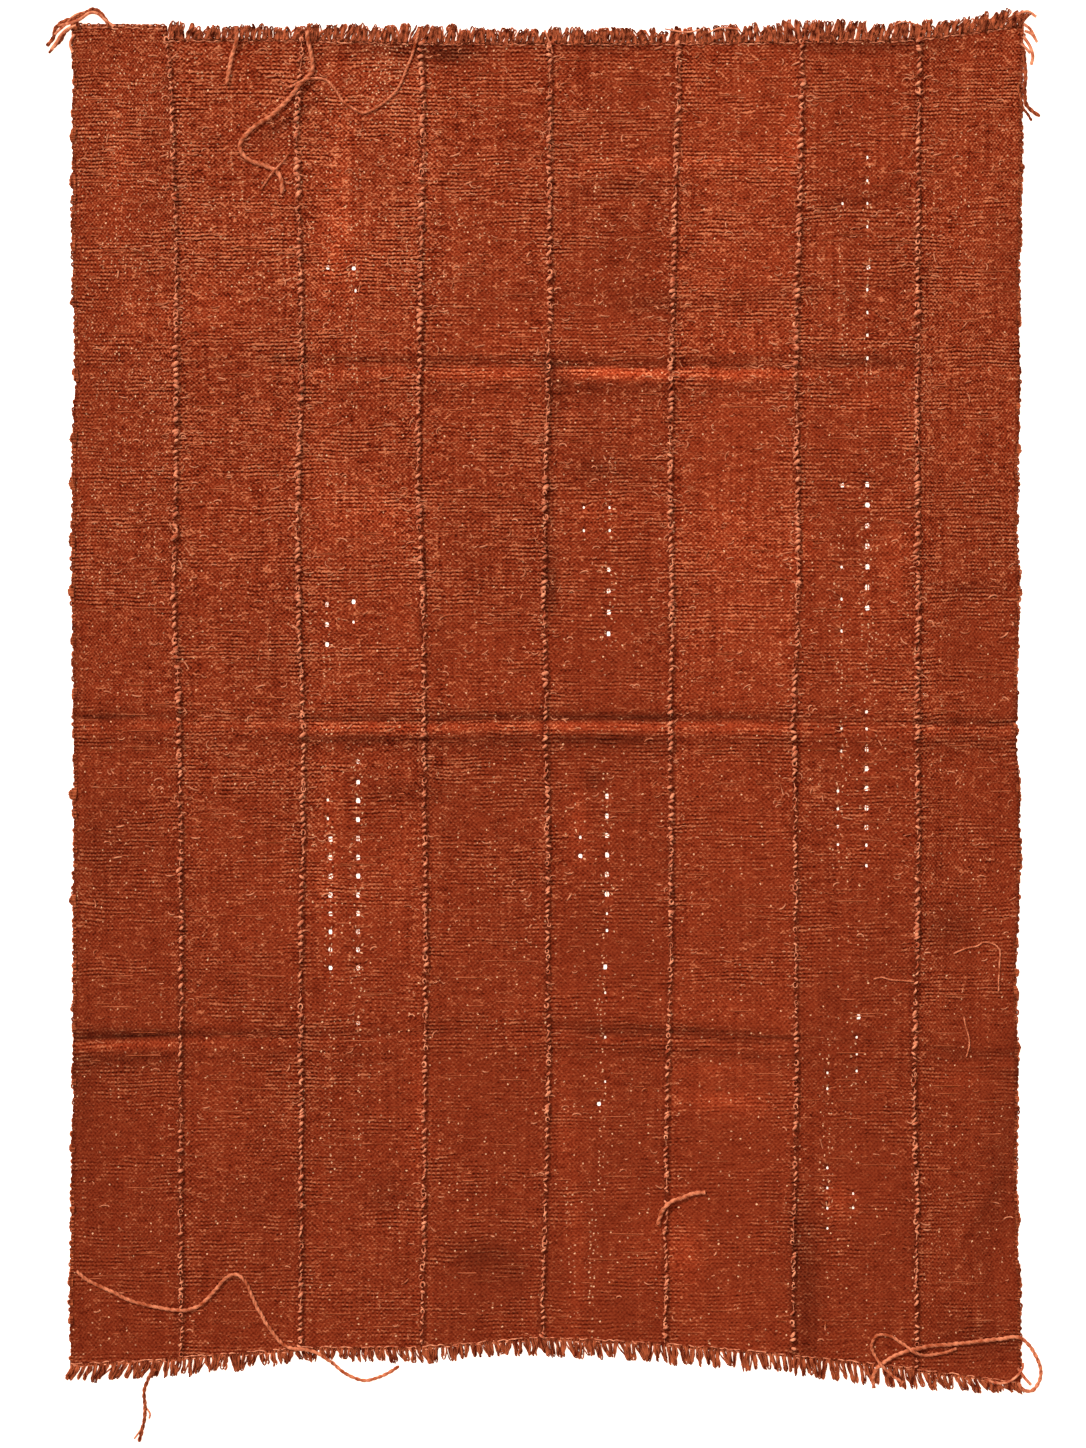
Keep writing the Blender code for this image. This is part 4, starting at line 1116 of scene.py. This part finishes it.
def makeSelvedge(line, outward):
    # where the weft turns round the outer warp it stands out in small uneven loops, and in places it
    # has bunched into knots
    source = random.Random(60 + line)
    number = 1 if line == 0 else 8
    topY, bottomY = stripEnds(number, 0.0 if line == 0 else 1.0)
    strands = []

    def addLoop(y, out, tall, radius, z):
        edge = lineX(line, y) + edgeWander(line, y)
        points = [(edge - outward * 3.5, y + tall * 0.5, z),
                  (edge + outward * (out * 0.6), y + tall * 0.45, z + 0.3),
                  (edge + outward * out, y + source.uniform(-0.6, 0.6), z),
                  (edge + outward * (out * 0.5), y - tall * 0.5, z),
                  (edge - outward * 3.5, y - tall * 0.6, z)]
        strands.append(evenYarn(points, radius, 1.8))

    y = topY - 4
    while y > bottomY + 4:
        out, tall, radius = [source.uniform(*selvedgeSettings[key]) for key in ("out", "tall", "radius")]
        addLoop(y, out, tall, radius, 1.4)
        y -= source.uniform(*selvedgeSettings["gap"])
    for y, out, tall in selvedgeKnots[line]:
        for order in range(max(int(tall / 1.6), 3)):
            place = source.uniform(-0.5, 0.5)
            reach = (out - 0.5) * (1 - abs(place) * 1.2) * source.uniform(0.6, 1.05)
            addLoop(y + place * tall * 0.8, reach, source.uniform(2.0, 4.0),
                    source.uniform(*selvedgeSettings["knotRadius"]), source.uniform(1.2, 3.4))
    side = "Left" if line == 0 else "Right"
    finishPiece(yarnMesh(f"selvedgeLoops{side}", strands, "round"), yarnMaterials["fringe"], "cloth")


makeSelvedge(0, -1)
makeSelvedge(8, 1)


eyeletSettings = {"threads": (0, 1, 2, 3), "radius": (0.4, 0.6)}


def makeEyeletThreads():
    # stray threads that cross the open eyelets and draw their rims together
    source = random.Random(77)
    strands = []
    for strip, x, yFirst, yLast, count, width, height in eyelets:
        for order in range(count):
            y = mix(yFirst, yLast, order / max(count - 1, 1))
            for crossing in range(source.choice(eyeletSettings["threads"])):
                turn = source.uniform(-0.5, 0.5) + (math.pi / 2 if source.random() < 0.3 else 0)
                long = 0.5 * max(width, height) + 1.2
                dx, dy = long * math.cos(turn), long * math.sin(turn)
                offset = source.uniform(-1, 1)
                z = clothTop(x, y) - 0.1
                points = [(x - dx, y - dy + offset, z - 0.4), (x - dx * 0.5, y - dy * 0.5 + offset, z + 0.1),
                          (x + dx * 0.5, y + dy * 0.5 + offset, z + 0.1), (x + dx, y + dy + offset, z - 0.4)]
                strands.append([(place, source.uniform(*eyeletSettings["radius"]), 0.0)
                                for place in smoothLine(points, 1.6)])
    finishPiece(yarnMesh("eyeletThreads", strands, "thin"), yarnMaterials["curl"], "cloth")


makeEyeletThreads()
print("selvedges and eyelets done")

# loose yarns in mm, from the sewn-in end to the free end, as the solids have them
looseYarns = [
    ("yarn_seam_2", 3.6, [
        (-269, 752), (-267, 736), (-263, 718), (-265, 705), (-277, 691), (-292, 673), (-311, 656),
        (-329, 644), (-343, 629), (-344, 617), (-336, 608), (-316, 600), (-302, 592), (-298, 580),
        (-298, 569)]),
    ("yarn_seam_2_loop", 2.2, [
        (-291, 688), (-281, 692), (-266, 698), (-250, 698), (-240, 689), (-229, 673), (-213, 662),
        (-204, 660), (-186, 669), (-167, 688), (-156, 713), (-147, 738), (-143, 755)]),
    ("yarn_cross", 1.8, [(-289, 615), (-297, 605), (-305, 596), (-314, 585), (-322, 573)]),
    ("yarn_top_tail", 3.4, [(-348, 757), (-349, 741), (-353, 726), (-357, 710), (-360, 692)]),
    ("yarn_corner_tie", 3.4, [
        (-492, 757), (-497, 767), (-505, 775), (-513, 776), (-521, 770), (-533, 766), (-544, 762),
        (-552, 755), (-555, 744), (-562, 735)]),
    ("yarn_corner_tie_short", 2.6, [
        (-529, 755), (-536, 755), (-542, 749), (-546, 742), (-553, 735), (-560, 727)]),
    ("yarn_right_corner", 3.4, [
        (537, 729), (538, 713), (539, 700), (538, 686), (539, 671), (546, 662), (555, 656)]),
    ("yarn_right_corner_short", 2.4, [(531, 692), (532, 680), (535, 668), (541, 659), (546, 651)]),
    ("yarn_side_thread", 1.4, [
        (458, -286), (472, -280), (484, -278), (492, -273), (501, -274), (509, -280), (510, -292),
        (509, -304), (509, -316), (508, -328)]),
    ("yarn_seam_7_thread", 1.4, [(413, -317), (400, -316), (387, -315), (377, -313), (368, -315)]),
    ("yarn_lower_thread", 1.4, [(469, -356), (471, -367), (475, -379), (476, -390), (472, -402)]),
    ("yarn_seam_5", 3.4, [(178, -554), (164, -556), (151, -561), (138, -566), (130, -575), (125, -591)]),
    ("yarn_left_long", 3.0, [
        (-529, -643), (-515, -654), (-493, -664), (-470, -675), (-446, -682), (-417, -686), (-402, -686),
        (-387, -679), (-371, -663), (-361, -651), (-351, -647), (-341, -652), (-333, -668), (-323, -689),
        (-310, -710), (-297, -725), (-284, -730), (-270, -731), (-253, -737), (-237, -749), (-221, -761),
        (-204, -766), (-185, -761), (-166, -750)]),
    ("yarn_hanging", 3.2, [
        (-440, -752), (-448, -764), (-453, -779), (-452, -795), (-452, -809), (-455, -823), (-458, -835)]),
    ("yarn_right_loop", 3.2, [
        (368, -775), (367, -763), (373, -751), (386, -741), (401, -734), (427, -728), (454, -725),
        (482, -723), (510, -719), (530, -717), (542, -726), (552, -741), (556, -756), (554, -768),
        (546, -777), (536, -776), (530, -768)]),
    ("yarn_right_loop_inner", 2.6, [
        (401, -768), (385, -757), (372, -742), (366, -728), (371, -716), (385, -716), (401, -725),
        (413, -734), (428, -738), (445, -735), (461, -730)]),
]


# step along a yarn in mm, how much fuller it looks than its core, and its diameters to half a turn of twist
looseSettings = {"step": 1.2, "swell": 1.5, "halfTurn": 2.2}


def surfaceTrees():
    depsgraph = bpy.context.evaluated_depsgraph_get()
    return [BVHTree.FromObject(piece, depsgraph) for piece in strips + seams + fringes]


rayStart = 50 * mm  # well above everything


def topOf(trees, x, y):
    # height in mm of whatever lies highest under a point, or the floor
    best = 0.0
    for tree in trees:
        hit = tree.ray_cast(Vector((x * mm, y * mm, rayStart)), Vector((0, 0, -1)))
        if hit[0] is not None:
            best = max(best, hit[0].z / mm)
    return best


def average(values, index, reach):  # of the values at most reach places from this one
    near = values[max(index - reach, 0):index + reach + 1]
    return sum(near) / len(near)


def layYarns():
    trees = surfaceTrees()
    step = looseSettings["step"]
    laid = []
    for node, diameter, route in looseYarns:
        radius = diameter / 2
        flat = [(x + 0.9 * rough(x, y, 13, radius), y + 0.9 * rough(x, y, 13, radius + 5))
                for x, y in smoothLine(route, step)]
        needed = []
        for x, y in flat:
            spots = [(0, 0), (radius * 0.8, 0), (-radius * 0.8, 0), (0, radius * 0.8), (0, -radius * 0.8)]
            height = max(topOf(trees, x + dx, y + dy) for dx, dy in spots) + radius * 0.92
            for otherRadius, line in laid:
                for other in line:
                    apart = math.hypot(other[0] - x, other[1] - y)
                    if apart < radius + otherRadius:
                        height = max(height, other[2] + math.sqrt((radius + otherRadius) ** 2 - apart ** 2))
            needed.append(height)
        reach = max(round(3.2 * diameter / step / 2), 2)
        raised = [max(needed[max(i - reach, 0):i + reach + 1]) for i in range(len(flat))]
        eased = [average(raised, index, reach) for index in range(len(flat))]
        heights = [mix(low, high, 0.75) for high, low in zip(eased, needed)]
        line = [(x, y, max(average(heights, index, 2), radius * 1.85)) for index, (x, y) in enumerate(flat)]
        laid.append((radius, line))
        pieceName = "".join(word if i == 0 else word.capitalize() for i, word in enumerate(node.split("_")))
        turn = step * math.pi / (looseSettings["halfTurn"] * diameter)
        strand = []
        for index, place in enumerate(line):
            swell = looseSettings["swell"] + 0.12 * rough(place[0], place[1], 9, 2.2)
            swell += 0.06 * math.sin(index * 0.9)
            if index == len(line) - 1:
                swell *= 0.6
            strand.append((place, radius * swell, index * turn))
        piece = yarnMesh(pieceName, [strand], "cord")
        look = "fringe" if "corner" in node or "hanging" in node else "loose"
        finishPiece(piece, yarnMaterials[look], "loose_yarn", node)


layYarns()

for profile in profiles.values():
    bpy.data.objects.remove(profile, do_unlink=True)

# camera straight above, as the photograph was taken
cameraSettings = {"lens": 110, "sensor": 36, "middle": (-3.94 * mm, -27.6 * mm), "pixels": 1448,
                  "pixelSize": 1.125 * mm, "clipEnd": 100}
cameraData = bpy.data.cameras.new("overheadCamera")
cameraData.lens = cameraSettings["lens"]
cameraData.sensor_width = cameraSettings["sensor"]
cameraData.sensor_fit = "AUTO"
cameraData.clip_end = cameraSettings["clipEnd"]
camera = addObject("overheadCamera", cameraData)
seen = cameraSettings["pixels"] * cameraSettings["pixelSize"]
distance = seen * cameraSettings["lens"] / cameraSettings["sensor"]
camera.location = (*cameraSettings["middle"], distance + 2 * mm)
bpy.context.scene.camera = camera

# plain white floor that glows like a light table, so that no shadow shows
floorSettings = {"size": 6, "colour": "#f6f6f6", "glow": "#ffe9d4", "glowStrength": 1.15}
floorMesh = bpy.data.meshes.new("floor")
floorShape = bmesh.new()
bmesh.ops.create_grid(floorShape, x_segments=1, y_segments=1, size=floorSettings["size"])
floorShape.to_mesh(floorMesh)
floorShape.free()
floor = addObject("floor", floorMesh)
floorMaterial, floorTree, floorShader = newMaterial("whitePaperFloor", 0.95)
floorShader.inputs["Base Color"].default_value = hexToLinear(floorSettings["colour"])
floorShader.inputs["Emission Color"].default_value = hexToLinear(floorSettings["glow"])
floorShader.inputs["Emission Strength"].default_value = floorSettings["glowStrength"]
floorMesh.materials.append(floorMaterial)

# a soft key light from beyond the top end, its angles in degrees, and a bright even fill
lightSettings = {"sun": 2.9, "elevation": 37, "azimuth": 38, "angle": 6, "fill": 0.74}
sunData = bpy.data.lights.new("keyLight", "SUN")
sunData.energy = lightSettings["sun"]
sunData.angle = math.radians(lightSettings["angle"])
sun = addObject("keyLight", sunData)
slope, heading = lightSettings["elevation"] - 90, lightSettings["azimuth"]
sun.rotation_euler = (math.radians(slope), 0, math.radians(heading))
world = bpy.data.worlds.new("studio")
bpy.context.scene.world = world
world.use_nodes = True
world.node_tree.nodes["Background"].inputs["Color"].default_value = (1, 1, 1, 1)
world.node_tree.nodes["Background"].inputs["Strength"].default_value = lightSettings["fill"]
bpy.context.scene.view_settings.view_transform = "Standard"

print("camera and light set")
